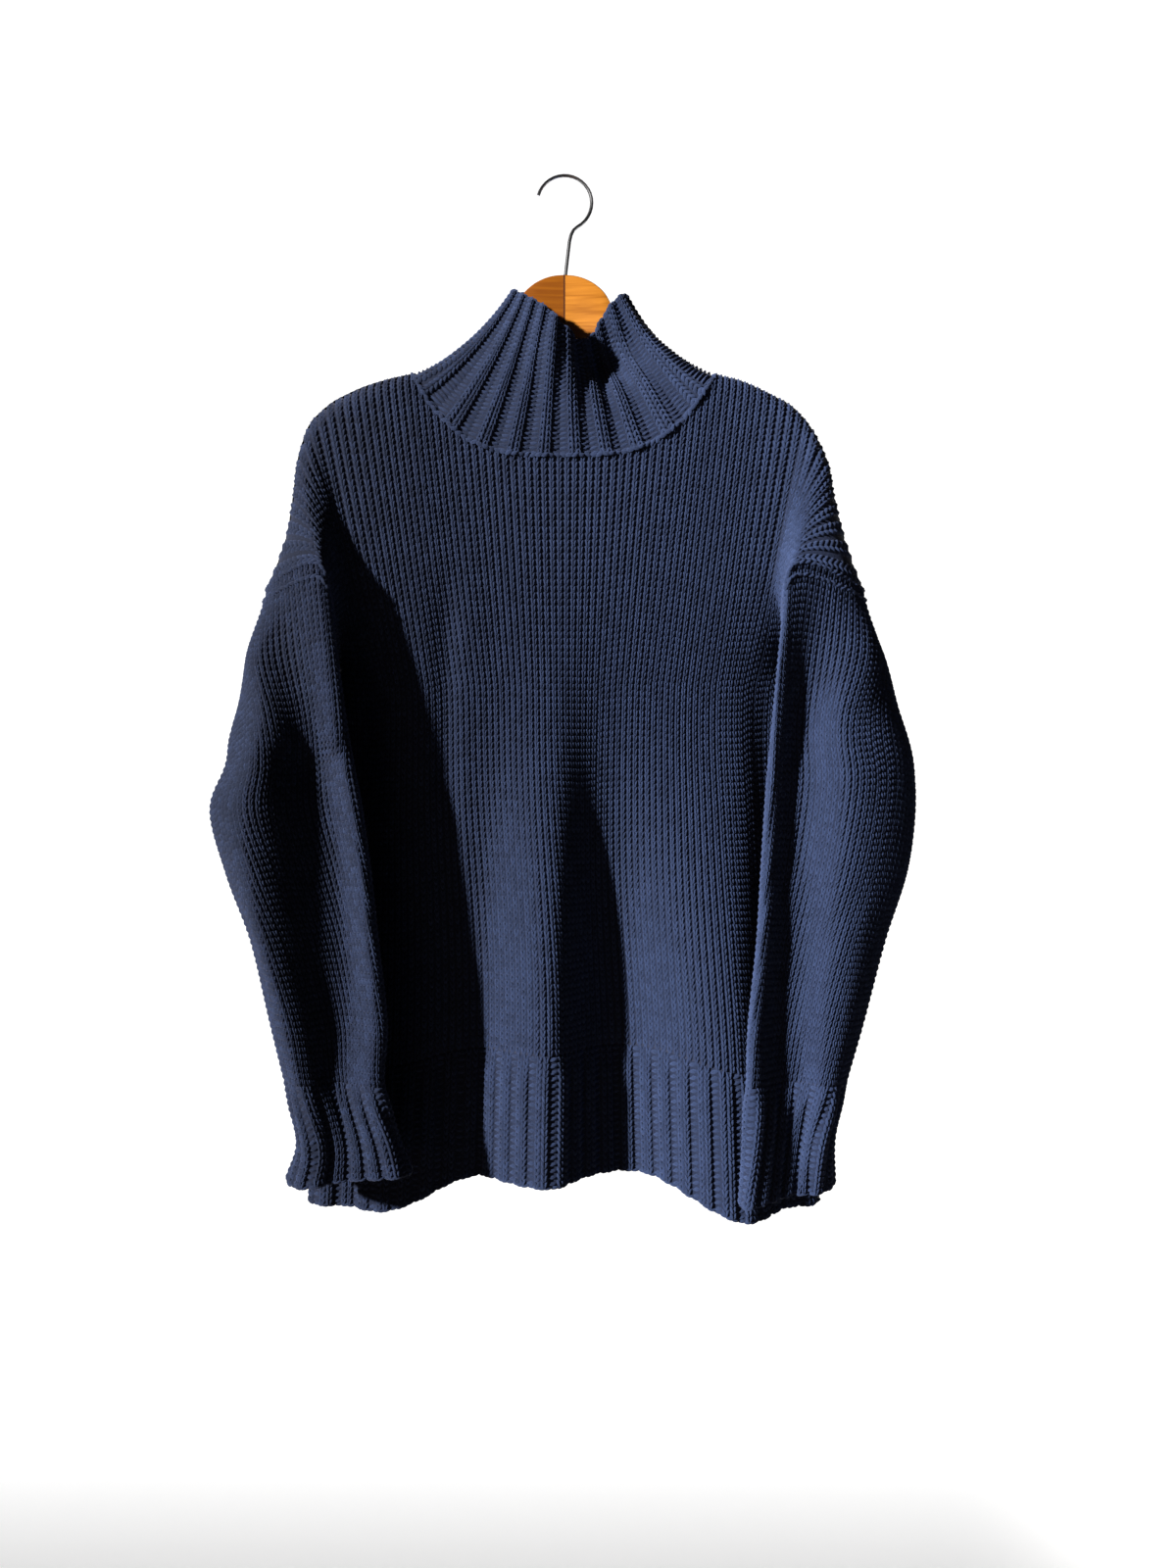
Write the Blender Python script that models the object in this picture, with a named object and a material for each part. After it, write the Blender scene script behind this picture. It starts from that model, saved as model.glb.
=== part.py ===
"""A chunky hand-knitted turtleneck sweater hanging on a wooden hanger.

Metres, +Z up, +X to the right and -Y to the front. The origin is the inner
top of the hook. The cloth is a wall: its outer points come from a few tables
of real sizes, and its inner points lie one wall thickness inside them.
"""
import math

import bmesh
import bpy
import numpy as np

# Driving sizes of the cloth
WALL = 0.003  # thickness of the knitted cloth
RIB_HEIGHT = 0.0028  # how far a rib stands up from the cloth
SEAM_GAP = 0.0003  # between two pieces at a seam
SEAM_OPENING = 0.12  # slope by which a seam opens toward the inside
CORNER_REACH = 0.045  # the wall thins this near to a corner where three pieces meet
CORNER_SHARE = 0.15  # and is this share of its thickness there
FOLD_ROOM = 0.35  # the share of a tight fold's width that its inside may take up
FOLD_ROUNDING = 0.010  # radius that the thick cloth gives a fold in a sleeve
SIDE_WALE = 42  # stitch columns from the centre line to a side seam
NECK_WALE = 20  # stitch columns from the centre line to a neck point
TIP_WALE = 32  # the stitch column over the tip of the hanger
RIB_RAISED = 2  # stitch columns that stand up in each rib
RIB_WALES = 3  # stitch columns to a rib of the hem and the cuffs, where one is sunk
COLLAR_RIB_WALES = 4  # and to a rib of the collar, where two are sunk
COLLAR_WALES = 80  # all round the collar
CUFF_WALES = 48  # all round a cuff
JOIN_HEIGHT = -0.470  # where the shoulder part of a panel meets its lower part
NECK_BOTTOM = -0.2695  # lowest point of the front neckline
BACK_NECK_BOTTOM = -0.205
HEM_HEIGHT = -0.907  # at the centre line; the hem droops at the sides
RIB_START = 0.74  # of the way from the join to the hem
UNDERARM = 0.8  # of the way down a side stitch column to the underarm

# Driving sizes of the hanger
WOOD_TOP = -0.0910
HUMP_RADIUS = 0.047
HANGER_REACH = 0.222  # from the middle to a tip
ARM_BOW = 0.036  # how far forward the tips lie
NECK_REACH = 0.13  # the cloth lies on the arms beyond this
CLOTH_REST = 0.0049  # from the outside of the cloth down to the wood
WIRE_RADIUS = 0.00165
HOOK_RADIUS = 0.0250  # of the wire's centre line

NAVY = (0.030, 0.036, 0.075)
BEECH = (0.52, 0.27, 0.09)
CHROME = (0.62, 0.62, 0.64)


def table(names, *rows):
    """Named columns from rows, one row for each section, fold or level."""
    return {name: np.array(column, float) for name, column in zip(names.split(), zip(*rows))}


# The line along the top of the shoulder and down the outside of the dropped shoulder
SHOULDER = table(
    "wale left right forward height",
    (20, 0.1370, 0.1370, -0.018, -0.1885),
    (24, 0.1620, 0.1600, -0.023, -0.1960),
    (28, 0.1890, 0.1830, -0.029, -0.2080),
    (31, 0.2110, 0.2050, -0.035, -0.2230),
    (33, 0.2250, 0.2185, -0.037, -0.2400),
    (35, 0.2340, 0.2320, -0.038, -0.2680),
    (38, 0.2385, 0.2395, -0.040, -0.3060),
    (40, 0.2445, 0.2480, -0.041, -0.3420),
    (42, 0.2605, 0.2635, -0.042, -0.3880),
)
# Where the cloth lies from top to bottom: the flat front and back, the line of the
# side seams and the half widths
BODY = table(
    "height front back seam left right",
    (-0.16, -0.036, 0.012, 0.000, 0.214, 0.214),
    (-0.19, -0.042, 0.014, 0.000, 0.214, 0.214),
    (-0.25, -0.051, 0.024, 0.000, 0.214, 0.214),
    (-0.36, -0.051, 0.034, 0.000, 0.214, 0.214),
    (-0.47, -0.041, 0.044, 0.000, 0.205, 0.205),
    (-0.60, -0.033, 0.050, 0.004, 0.213, 0.213),
    (-0.75, -0.028, 0.054, 0.008, 0.224, 0.224),
    (-0.94, -0.026, 0.056, 0.008, 0.236, 0.236),
)
# Folds as soft ridges: where they start and are full, their middle there and at the
# hem, how far they stand out, and the width of their left and right flanks
FRONT_FOLDS = table(
    "starts full middle hem_middle depth left right",
    (-0.38, -0.75, -0.006, -0.012, 0.036, 0.045, 0.024),
    (-0.42, -0.75, 0.030, 0.056, -0.018, 0.030, 0.035),
    (-0.50, -0.80, 0.135, 0.158, 0.034, 0.060, 0.035),
    (-0.45, -0.85, -0.070, -0.076, -0.008, 0.022, 0.018),
    (-0.36, -0.42, -0.104, -0.106, -0.005, 0.012, 0.012),
    (-0.42, -0.55, -0.176, -0.200, -0.016, 0.020, 0.018),
    (-0.42, -0.55, 0.178, 0.203, -0.014, 0.018, 0.018),
)
BACK_FOLDS = table(
    "starts full middle hem_middle depth left right",
    (-0.42, -0.80, -0.120, -0.135, 0.020, 0.040, 0.034),
    (-0.36, -0.75, -0.030, -0.040, 0.017, 0.036, 0.042),
    (-0.48, -0.80, 0.055, 0.050, 0.024, 0.030, 0.038),
    (-0.42, -0.80, 0.140, 0.150, 0.015, 0.034, 0.030),
)
# The way of a stitch column over the dropped shoulder, at the tip of the hanger and
# at the armhole: across, forward and height at each step down the column
DROP_STEPS = (0.0, 0.35, 0.6, UNDERARM, 1.0)
FRONT_DROP = table(
    "step tip_across tip_forward tip_height edge_across edge_forward edge_height",
    (0.35, 0.2140, -0.055, -0.305, 0.2060, -0.088, -0.370),
    (0.60, 0.1990, -0.051, -0.372, 0.1990, -0.072, -0.405),
    (0.80, 0.1960, -0.046, -0.423, 0.2050, -0.003, -0.447),
)
BACK_DROP = table(
    "step tip_across tip_forward tip_height edge_across edge_forward edge_height",
    (0.35, 0.2140, 0.006, -0.305, 0.2230, 0.016, -0.368),
    (0.60, 0.2010, 0.026, -0.372, 0.2140, 0.030, -0.404),
    (0.80, 0.1980, 0.038, -0.423, 0.2050, -0.003, -0.447),
)
# The sleeves' sections: how far across the outer side, the outer crest, the valley,
# the inner ridge and the inner back lie, and how far forward each of them is
LEFT_SLEEVE = table(
    "height outer crest valley ridge under crest_y valley_y ridge_y under_y back_y",
    (-0.495, 0.2880, 0.250, 0.223, 0.182, 0.206, -0.092, -0.078, -0.096, -0.046, 0.000),
    (-0.540, 0.2940, 0.251, 0.217, 0.175, 0.206, -0.102, -0.068, -0.096, -0.046, -0.014),
    (-0.580, 0.3055, 0.254, 0.208, 0.168, 0.206, -0.108, -0.071, -0.096, -0.044, -0.022),
    (-0.635, 0.2905, 0.252, 0.201, 0.161, 0.206, -0.108, -0.071, -0.096, -0.044, -0.028),
    (-0.693, 0.2695, 0.244, 0.195, 0.155, 0.204, -0.104, -0.071, -0.096, -0.044, -0.030),
    (-0.761, 0.2535, 0.226, 0.193, 0.148, 0.200, -0.098, -0.071, -0.094, -0.046, -0.032),
    (-0.812, 0.2415, 0.216, 0.195, 0.150, 0.194, -0.092, -0.074, -0.094, -0.048, -0.034),
    (-0.863, 0.2280, 0.212, 0.191, 0.140, 0.188, -0.090, -0.078, -0.092, -0.048, -0.036),
    (-0.894, 0.2380, 0.214, 0.189, 0.130, 0.184, -0.090, -0.080, -0.090, -0.048, -0.038),
)
RIGHT_SLEEVE = table(
    "height outer crest valley ridge under crest_y valley_y ridge_y under_y back_y",
    (-0.495, 0.2965, 0.240, 0.206, 0.176, 0.206, -0.088, -0.068, -0.092, -0.046, 0.000),
    (-0.557, 0.3070, 0.243, 0.202, 0.171, 0.208, -0.096, -0.071, -0.092, -0.044, -0.014),
    (-0.625, 0.3000, 0.240, 0.198, 0.167, 0.208, -0.098, -0.071, -0.092, -0.042, -0.026),
    (-0.693, 0.2790, 0.236, 0.195, 0.163, 0.206, -0.096, -0.071, -0.094, -0.042, -0.030),
    (-0.761, 0.2610, 0.228, 0.191, 0.156, 0.204, -0.094, -0.071, -0.096, -0.046, -0.030),
    (-0.812, 0.2462, 0.222, 0.194, 0.154, 0.198, -0.092, -0.071, -0.098, -0.050, -0.034),
    (-0.863, 0.2330, 0.216, 0.198, 0.153, 0.194, -0.088, -0.071, -0.099, -0.054, -0.038),
    (-0.909, 0.2345, 0.214, 0.198, 0.150, 0.192, -0.076, -0.071, -0.098, -0.056, -0.036),
)
CUFF_HEIGHT = -0.812  # of the row of the sleeves' tables where the cuffs start
CUFF_TILT = {-1: 0.13, 1: 0.08}  # the slant of the cuffs, higher on the outer side
SLEEVE_FULLNESS = 0.013  # by which a sleeve stands out half way down from the armhole
# The top edge of the collar, from the left round the front to the right and back
COLLAR_TOP = table(
    "share across forward height",
    (0.00, -0.0471, -0.006, -0.1065),
    (0.09, -0.0320, -0.029, -0.1220),
    (0.18, -0.0150, -0.042, -0.1380),
    (0.25, -0.0010, -0.047, -0.1540),
    (0.30, 0.0129, -0.040, -0.1624),
    (0.35, 0.0260, -0.027, -0.1520),
    (0.40, 0.0365, -0.021, -0.1340),
    (0.45, 0.0475, -0.015, -0.1180),
    (0.50, 0.0540, -0.006, -0.1110),
    (0.62, 0.0400, 0.020, -0.1120),
    (0.75, 0.0050, 0.027, -0.1150),
    (0.88, -0.0320, 0.020, -0.1110),
    (1.00, -0.0471, -0.006, -0.1065),
)
# The arms of the hanger: top and bottom line and half thickness
HANGER = table(
    "across top bottom half",
    (0.0, -0.0910, -0.1560, 0.0065),
    (0.010, -0.0921, -0.1565, 0.0065),
    (0.020, -0.0955, -0.1580, 0.0065),
    (0.030, -0.1018, -0.1610, 0.0065),
    (0.038, -0.1104, -0.1645, 0.0065),
    (0.044, -0.1220, -0.1680, 0.0065),
    (0.050, -0.1365, -0.1715, 0.0064),
    (0.060, -0.1520, -0.1780, 0.0062),
    (0.080, -0.1700, -0.1930, 0.0060),
    (0.110, -0.1900, -0.2120, 0.0058),
    (0.138, -0.1995, -0.2230, 0.0056),
    (0.165, -0.2010, -0.2310, 0.0056),
    (0.186, -0.2090, -0.2390, 0.0056),
    (0.198, -0.2230, -0.2440, 0.0050),
    (0.204, -0.2310, -0.2460, 0.0040),
)


def smooth(at, places, values):
    """Values between the rows of a table, on a smooth curve through them."""
    values = np.asarray(values, float)
    at = np.clip(np.asarray(at, float), places[0], places[-1])
    row = np.clip(np.searchsorted(places, at, side="right") - 1, 0, len(places) - 2)
    step = places[row + 1] - places[row]
    share = (at - places[row]) / step
    slopes = np.gradient(values, places, axis=0)
    if values.ndim > 1:
        share, step = share[..., None], step[..., None]
    keep = 1 - share
    return (
        values[row] * keep * keep * (1 + 2 * share)
        + values[row + 1] * share * share * (3 - 2 * share)
        + slopes[row] * step * share * keep * keep
        - slopes[row + 1] * step * share * share * keep
    )


def ease(value, low, high):
    """From 0 at low to 1 at high, with soft ends."""
    share = np.clip((value - low) / (high - low), 0, 1)
    return share * share * (3 - 2 * share)


def unit(vectors):
    return vectors / np.maximum(np.linalg.norm(vectors, axis=-1, keepdims=True), 1e-12)


def along(points, shares):
    """Points at the given shares of a line's length."""
    lengths = np.concatenate([[0], np.cumsum(np.linalg.norm(np.diff(points, axis=0), axis=1))])
    wanted = np.asarray(shares) * lengths[-1]
    return np.stack([np.interp(wanted, lengths, points[:, k]) for k in range(3)], -1)


def shares_of(points):
    """How far along a line each of its points lies, from 0 to 1."""
    lengths = np.concatenate([[0], np.cumsum(np.linalg.norm(np.diff(points, axis=0), axis=1))])
    return lengths / lengths[-1]


def shares_length(points):
    return np.linalg.norm(np.diff(points, axis=0), axis=1).sum()


# Front and back panels


def body_row(name, height):
    return smooth(-np.asarray(height, float), -BODY["height"], BODY[name])


def half_width(across, height):
    return np.where(across < 0, body_row("left", height), body_row("right", height))


def folds(rows, across, height):
    """How far all the folds together stand out."""
    out = np.zeros(np.broadcast(across, height).shape)
    for k in range(len(rows["depth"])):
        down = np.clip((height - rows["starts"][k]) / (HEM_HEIGHT - rows["starts"][k]), 0, 1)
        offset = across - (rows["middle"][k] + (rows["hem_middle"][k] - rows["middle"][k]) * down)
        flank = np.where(offset < 0, rows["left"][k], rows["right"][k])
        grown = ease(-height, -rows["starts"][k], -rows["full"][k])
        out = out + rows["depth"][k] * grown * np.exp(-((offset / flank) ** 2))
    return out


def arm_forward(across):
    """The middle plane of the hanger's arms, which bow forward."""
    return -ARM_BOW * (np.abs(across) / HANGER_REACH) ** 1.4


def shoulder_line(across):
    """Height of the shoulder above a place, also inside the neck."""
    side = np.abs(across)
    left = smooth(side, SHOULDER["left"], SHOULDER["height"])
    right = smooth(side, SHOULDER["right"], SHOULDER["height"])
    inside = SHOULDER["height"][0] + 0.45 * (SHOULDER["left"][0] - side)
    return np.where(side < SHOULDER["left"][0], inside, np.where(across < 0, left, right))


def panel_depth(face, across, height):
    """How far forward or back a panel lies: flat, folded, and round over the shoulder."""
    across, height = np.asarray(across, float), np.asarray(height, float)
    sign = -1 if face == "front" else 1
    flat = body_row(face, height)
    near_arm = 1 - ease(-height, 0.24, 0.40)
    if face == "back":
        flat = flat + (arm_forward(across) + 0.017 - flat) * near_arm
    flat = flat + sign * folds(FRONT_FOLDS if face == "front" else BACK_FOLDS, across, height)
    width = half_width(across, height)
    seam = body_row("seam", height)
    rounded = np.sqrt(np.clip(1 - np.abs(across / width) ** 4, 0, 1))
    low = ease(-height, 0.36, -JOIN_HEIGHT)
    depth = flat + (seam + (flat - seam) * rounded - flat) * low
    below = np.clip((shoulder_line(across) - height) / 0.022, 0, 1)
    top = arm_forward(across)
    return top + (depth - top) * np.sqrt(1 - (1 - below) ** 2)


def top_edge(face, wales):
    """The neckline and the shoulder line of a panel."""
    out = np.abs(wales)
    shoulder = np.stack(
        [
            np.sign(wales) * np.where(
                wales < 0,
                smooth(out, SHOULDER["wale"], SHOULDER["left"]),
                smooth(out, SHOULDER["wale"], SHOULDER["right"]),
            ),
            smooth(out, SHOULDER["wale"], SHOULDER["forward"]),
            smooth(out, SHOULDER["wale"], SHOULDER["height"]),
        ],
        -1,
    )
    point = np.where(wales < 0, SHOULDER["left"][0], SHOULDER["right"][0])
    across = point * wales / NECK_WALE
    bottom, power = (NECK_BOTTOM, 3.5) if face == "front" else (BACK_NECK_BOTTOM, 2.5)
    height = bottom + (SHOULDER["height"][0] - bottom) * (out / NECK_WALE) ** power
    neck = np.stack([across, panel_depth(face, across, height), height], -1)
    # The middle plane of the arm carries the shoulder seam
    arm = np.abs(shoulder[:, 0]) <= HANGER_REACH
    shoulder[:, 1] = np.where(arm, arm_forward(shoulder[:, 0]), shoulder[:, 1])
    return np.where((out <= NECK_WALE)[:, None], neck, shoulder)


def level_points(face, wales, level):
    """Points of a panel at one level of its lower part, evenly spread along the cloth."""
    height = JOIN_HEIGHT + (HEM_HEIGHT - JOIN_HEIGHT) * level
    turn = np.linspace(0, math.pi, 721)
    ends = half_width(np.array([-1.0, 1.0]), np.array([height, height]))
    across = np.where(turn < math.pi / 2, -ends[0], -ends[1]) * np.cos(turn)
    heights = np.full(across.shape, height)
    line = np.stack([across, panel_depth(face, across, heights), heights], -1)
    points = along(line, (wales + SIDE_WALE) / (2 * SIDE_WALE))
    droop = 0.034 * ease(np.abs(points[:, 0]), 0.07, 0.17) * level**2
    points[:, 2] -= droop
    return points


def upper_points(face, wales, step):
    """Points of a panel's shoulder part, at a step down each stitch column."""
    out = np.abs(wales)
    top = top_edge(face, wales)
    join = level_points(face, wales, 0.0)
    inner = np.clip(wales, -TIP_WALE, TIP_WALE)
    inner_top = top_edge(face, inner)
    inner_join = level_points(face, inner, 0.0)

    def column(at):
        across = inner_top[:, 0] + (inner_join[:, 0] - inner_top[:, 0]) * at
        height = inner_top[:, 2] + (JOIN_HEIGHT - inner_top[:, 2]) * at
        return np.stack([across, panel_depth(face, across, height), height], -1)

    drop = FRONT_DROP if face == "front" else BACK_DROP
    share = np.clip((out - TIP_WALE) / (SIDE_WALE - TIP_WALE), 0, 1)[:, None]
    side = np.sign(wales)[:, None] * np.array([[1.0, 0, 0]]) + np.array([[0, 1.0, 1.0]])
    tip = np.stack([drop["tip_" + k] for k in ("across", "forward", "height")], -1)
    edge = np.stack([drop["edge_" + k] for k in ("across", "forward", "height")], -1)
    if face == "front":
        shift = np.where(wales > 0, -0.009, 0.0)[:, None] * np.array([[1.0, 0, 0]])
    else:
        shift = np.zeros((len(wales), 3))
    guides = [top] + [(tip[k] + (edge[k] - tip[k]) * share + shift * share * (k < 2)) * side for k in range(3)]
    guides.append(join)
    tips = [inner_top] + [tip[k] * side for k in range(3)] + [inner_join]
    steps = np.array(DROP_STEPS)
    away = np.array([0.0, -0.26 if face == "front" else 0.2, 0.0])

    def spline(points):
        values = np.stack(points)
        slopes = np.gradient(values, steps, axis=0)
        slopes[0] = away
        row = min(int(np.searchsorted(steps, step, side="right")) - 1, len(steps) - 2)
        gap = steps[row + 1] - steps[row]
        part = (step - steps[row]) / gap
        keep = 1 - part
        return (
            values[row] * keep * keep * (1 + 2 * part)
            + values[row + 1] * part * part * (3 - 2 * part)
            + slopes[row] * gap * part * keep * keep
            - slopes[row + 1] * gap * part * part * keep
        )

    dropped = spline(guides) + (column(step) - spline(tips)) * (1 - share) ** 2
    return np.where((out <= TIP_WALE)[:, None], column(step), dropped)


def panel_points(face, wales, steps):
    """A grid of points: 0 to 1 is the shoulder part, 1 to 2 the lower part."""
    wales = np.asarray(wales, float)
    return np.stack([
        upper_points(face, wales, step) if step < 1 else level_points(face, wales, step - 1)
        for step in steps
    ])


# Sleeves


def sleeve_section(rows, side, row):
    """A closed line round a sleeve at one row of its table, from the underarm forward."""
    r = {name: column[row] for name, column in rows.items()}
    width = r["outer"] - r["under"]
    depth = r["back_y"] - r["crest_y"]
    corners = np.array([
        (r["under"] + 0.32 * width, 0.3 * r["under_y"] + 0.7 * r["back_y"]),
        (r["under"], r["under_y"]),
        (r["ridge"] + 0.010, r["under_y"] - 0.014),
        (r["ridge"] + 0.003, r["ridge_y"] - 0.002),
        (r["valley"], r["valley_y"]),
        (r["crest"], r["crest_y"] - 0.001),
        (r["outer"] - 0.14 * width, r["crest_y"] + 0.25 * depth),
        (r["outer"] + 0.001, r["crest_y"] + 0.62 * depth),
        (r["outer"] - 0.20 * width, r["back_y"] - 0.001),
        (r["under"] + 0.58 * width, r["back_y"] + 0.001),
    ])
    count = len(corners)
    places = np.arange(-2, count + 3, dtype=float)
    line = smooth(np.linspace(0, count, 361), places, corners[np.arange(-2, count + 3) % count])
    line = np.column_stack([side * line[:, 0], line[:, 1], np.full(len(line), r["height"])])
    # Knitted cloth is too thick for a sharp fold, so the corners are rounded
    dots = along(line, np.arange(240) / 240)
    reach = np.arange(-12, 13)
    weight = np.exp(-((reach * shares_length(line) / 240 / FOLD_ROUNDING) ** 2))
    soft = sum(w * np.roll(dots, -k, axis=0) for k, w in zip(reach, weight)) / weight.sum()
    return np.concatenate([soft, soft[:1]])


def sleeve_rings(rows, side, armhole, shares):
    """The armhole and then the section at each row of the table."""
    rings = [along(armhole, shares)]
    rings += [along(sleeve_section(rows, side, row), shares) for row in range(len(rows["height"]))]
    return np.stack(rings)


def cuff_level(rows):
    """The number of the ring where the cuff starts."""
    return int(np.argmin(np.abs(rows["height"] - CUFF_HEIGHT))) + 1


def sleeve_points(rows, side, armhole, shares, levels):
    """A grid of points: level 0 is the armhole, 1 the first row of the table, and so on."""
    rings = sleeve_rings(rows, side, armhole, shares)
    places = np.arange(len(rings), dtype=float)
    below = smooth(np.array([0.5]), places, rings.reshape(len(rings), -1)).reshape(-1, 3)
    below[:, 0] += side * SLEEVE_FULLNESS * ease(side * below[:, 0], 0.21, 0.27)
    places = np.insert(places, 1, 0.5)
    rings = np.insert(rings, 1, below, axis=0)
    grid = smooth(np.asarray(levels, float), places, rings.reshape(len(rings), -1))
    grid = grid.reshape(len(levels), -1, 3)
    start = cuff_level(rows)
    slant = CUFF_TILT[side] * np.clip((np.asarray(levels) - start) / (len(rows["height"]) - start), 0, 1)
    grid[:, :, 2] += slant[:, None] * (grid[:, :, 0] - grid[:, :, 0].mean(axis=1, keepdims=True))
    return grid


# Collar


def collar_points(base, shares, ups):
    """Points of the collar from its base ring, up 0, to its top edge, up 1."""
    top = np.stack([
        smooth(shares, COLLAR_TOP["share"], COLLAR_TOP[k]) for k in ("across", "forward", "height")
    ], -1)
    middle = (base + top) / 2
    flare = (np.abs(base[:, 0]) / SHOULDER["left"][0]) ** 2
    front = ease(-base[:, 1], 0.02, 0.05)
    middle[:, 0] *= 1 - np.where(base[:, 0] < 0, 0.13, 0.09) * flare
    middle[:, 1] -= 0.008 * front
    middle[:, 2] -= 0.018 * flare
    grid = []
    for up in ups:
        keep = 1 - up
        points = base * keep * keep + middle * 2 * up * keep + top * up * up
        beside = points[:, 0] - 0.036
        dent = np.exp(-(beside / np.where(beside < 0, 0.021, 0.032)) ** 2 - ((points[:, 2] + 0.179) / 0.029) ** 2)
        ridge = np.exp(-((points[:, 0] + 0.012) / 0.016) ** 2 - ((points[:, 2] + 0.172) / 0.034) ** 2)
        points[:, 1] += (0.023 * dent - 0.008 * ridge) * front * np.sin(math.pi * min(up * 1.2, 1) / 2)
        grid.append(points)
    return np.stack(grid)


# Walls of cloth


def outward(points, sign, around=False):
    """Normals of a grid of points."""
    down = np.gradient(points, axis=0)
    if around:
        across = np.roll(points, -1, axis=1) - np.roll(points, 1, axis=1)
    else:
        across = np.gradient(points, axis=1)
    return sign * unit(np.cross(down, across))


def squared(normals, across, open_by=SEAM_OPENING):
    """Normals at an edge for which the wall's end stays on its own side of the seam.

    across points over the seam, which opens a little toward the inside.
    """
    lean = np.sum(normals * across, axis=-1, keepdims=True)
    return unit(unit(normals - lean * across) + open_by * across)


def inner_points(points, normals, corners, around=False):
    """The inside of a wall, thinner where a tight fold or a corner of three pieces leaves less room."""
    room = np.ones(points.shape[:2])
    for corner in corners:
        distance = np.linalg.norm(points - corner, axis=-1)
        room = np.minimum(room, np.clip(distance / CORNER_REACH, CORNER_SHARE, 1))
    for axis, steps in ((0, 1), (0, 2), (1, 1), (1, 2)):
        ahead, turned = (np.roll(grid, -steps, axis) - grid for grid in (points, normals))
        length = np.linalg.norm(ahead, axis=-1)
        closing = np.sum(turned * ahead, axis=-1) / np.maximum(length, 1e-9) * WALL
        share = np.clip(FOLD_ROOM * length / np.maximum(closing, 1e-9), CORNER_SHARE, 1)
        if axis == 0:
            share[-steps:] = 1
        elif not around:
            share[:, -steps:] = 1
        room = np.minimum(room, np.minimum(share, np.roll(share, steps, axis)))
    return points - normals * WALL * room[..., None]


def add_mesh(name, vertices, faces, colour, roughness, metallic=0.0):
    mesh = bpy.data.meshes.new(name)
    mesh.from_pydata([tuple(map(float, v)) for v in vertices], [], faces)
    work = bmesh.new()
    work.from_mesh(mesh)
    bmesh.ops.recalc_face_normals(work, faces=work.faces)
    work.to_mesh(mesh)
    work.free()
    mesh.shade_smooth()
    mesh.set_sharp_from_angle(angle=math.radians(50))
    material = bpy.data.materials.new(name)
    material.use_nodes = True
    shader = material.node_tree.nodes["Principled BSDF"]
    shader.inputs["Base Color"].default_value = (*colour, 1)
    shader.inputs["Roughness"].default_value = roughness
    shader.inputs["Metallic"].default_value = metallic
    mesh.materials.append(material)
    item = bpy.data.objects.new(name, mesh)
    bpy.context.collection.objects.link(item)
    return item


def add_wall(name, outer, inner, around=False):
    """A closed wall of triangles between an outer and an inner grid of points."""
    rows, columns = outer.shape[:2]
    size = rows * columns
    vertices = np.concatenate([outer.reshape(-1, 3), inner.reshape(-1, 3)])
    faces = []

    def quad(a, b, c, d):
        faces.extend([(a, b, c), (a, c, d)])

    def end_quad(a, b, c, d):
        # Both pieces at a seam take the shorter diagonal, so their ends match
        if np.linalg.norm(vertices[a] - vertices[c]) < np.linalg.norm(vertices[b] - vertices[d]):
            quad(a, b, c, d)
        else:
            quad(b, c, d, a)

    steps = columns if around else columns - 1
    for i in range(rows - 1):
        for j in range(steps):
            k = (j + 1) % columns
            a, b, c, d = i * columns + j, i * columns + k, (i + 1) * columns + k, (i + 1) * columns + j
            quad(a, b, c, d)
            quad(size + a, size + d, size + c, size + b)
    for j in range(steps):
        k = (j + 1) % columns
        last = (rows - 1) * columns
        end_quad(j, size + j, size + k, k)
        end_quad(last + k, size + last + k, size + last + j, last + j)
    if not around:
        for i in range(rows - 1):
            a, b = i * columns, (i + 1) * columns
            end_quad(a, b, size + b, size + a)
            a, b = a + columns - 1, b + columns - 1
            end_quad(b, a, size + a, size + b)
    return add_mesh(name, vertices, faces, NAVY, 0.95)


def rib_heights(count, wales=RIB_WALES):
    """How far each stitch column stands up in a ribbed piece."""
    return RIB_HEIGHT * (np.arange(count) % wales < RIB_RAISED)


def between(line, source, wanted):
    """Points on the straight edges of a line, whose own points lie at source."""
    return np.stack([np.interp(wanted, source, line[:, k]) for k in range(3)], -1)


def armhole_loop(points, under, column):
    """From the underarm up the front edge, over the shoulder and down the back edge."""
    return np.concatenate([points["front"][under::-1, column], points["back"][1:under + 1, column]])


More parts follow.
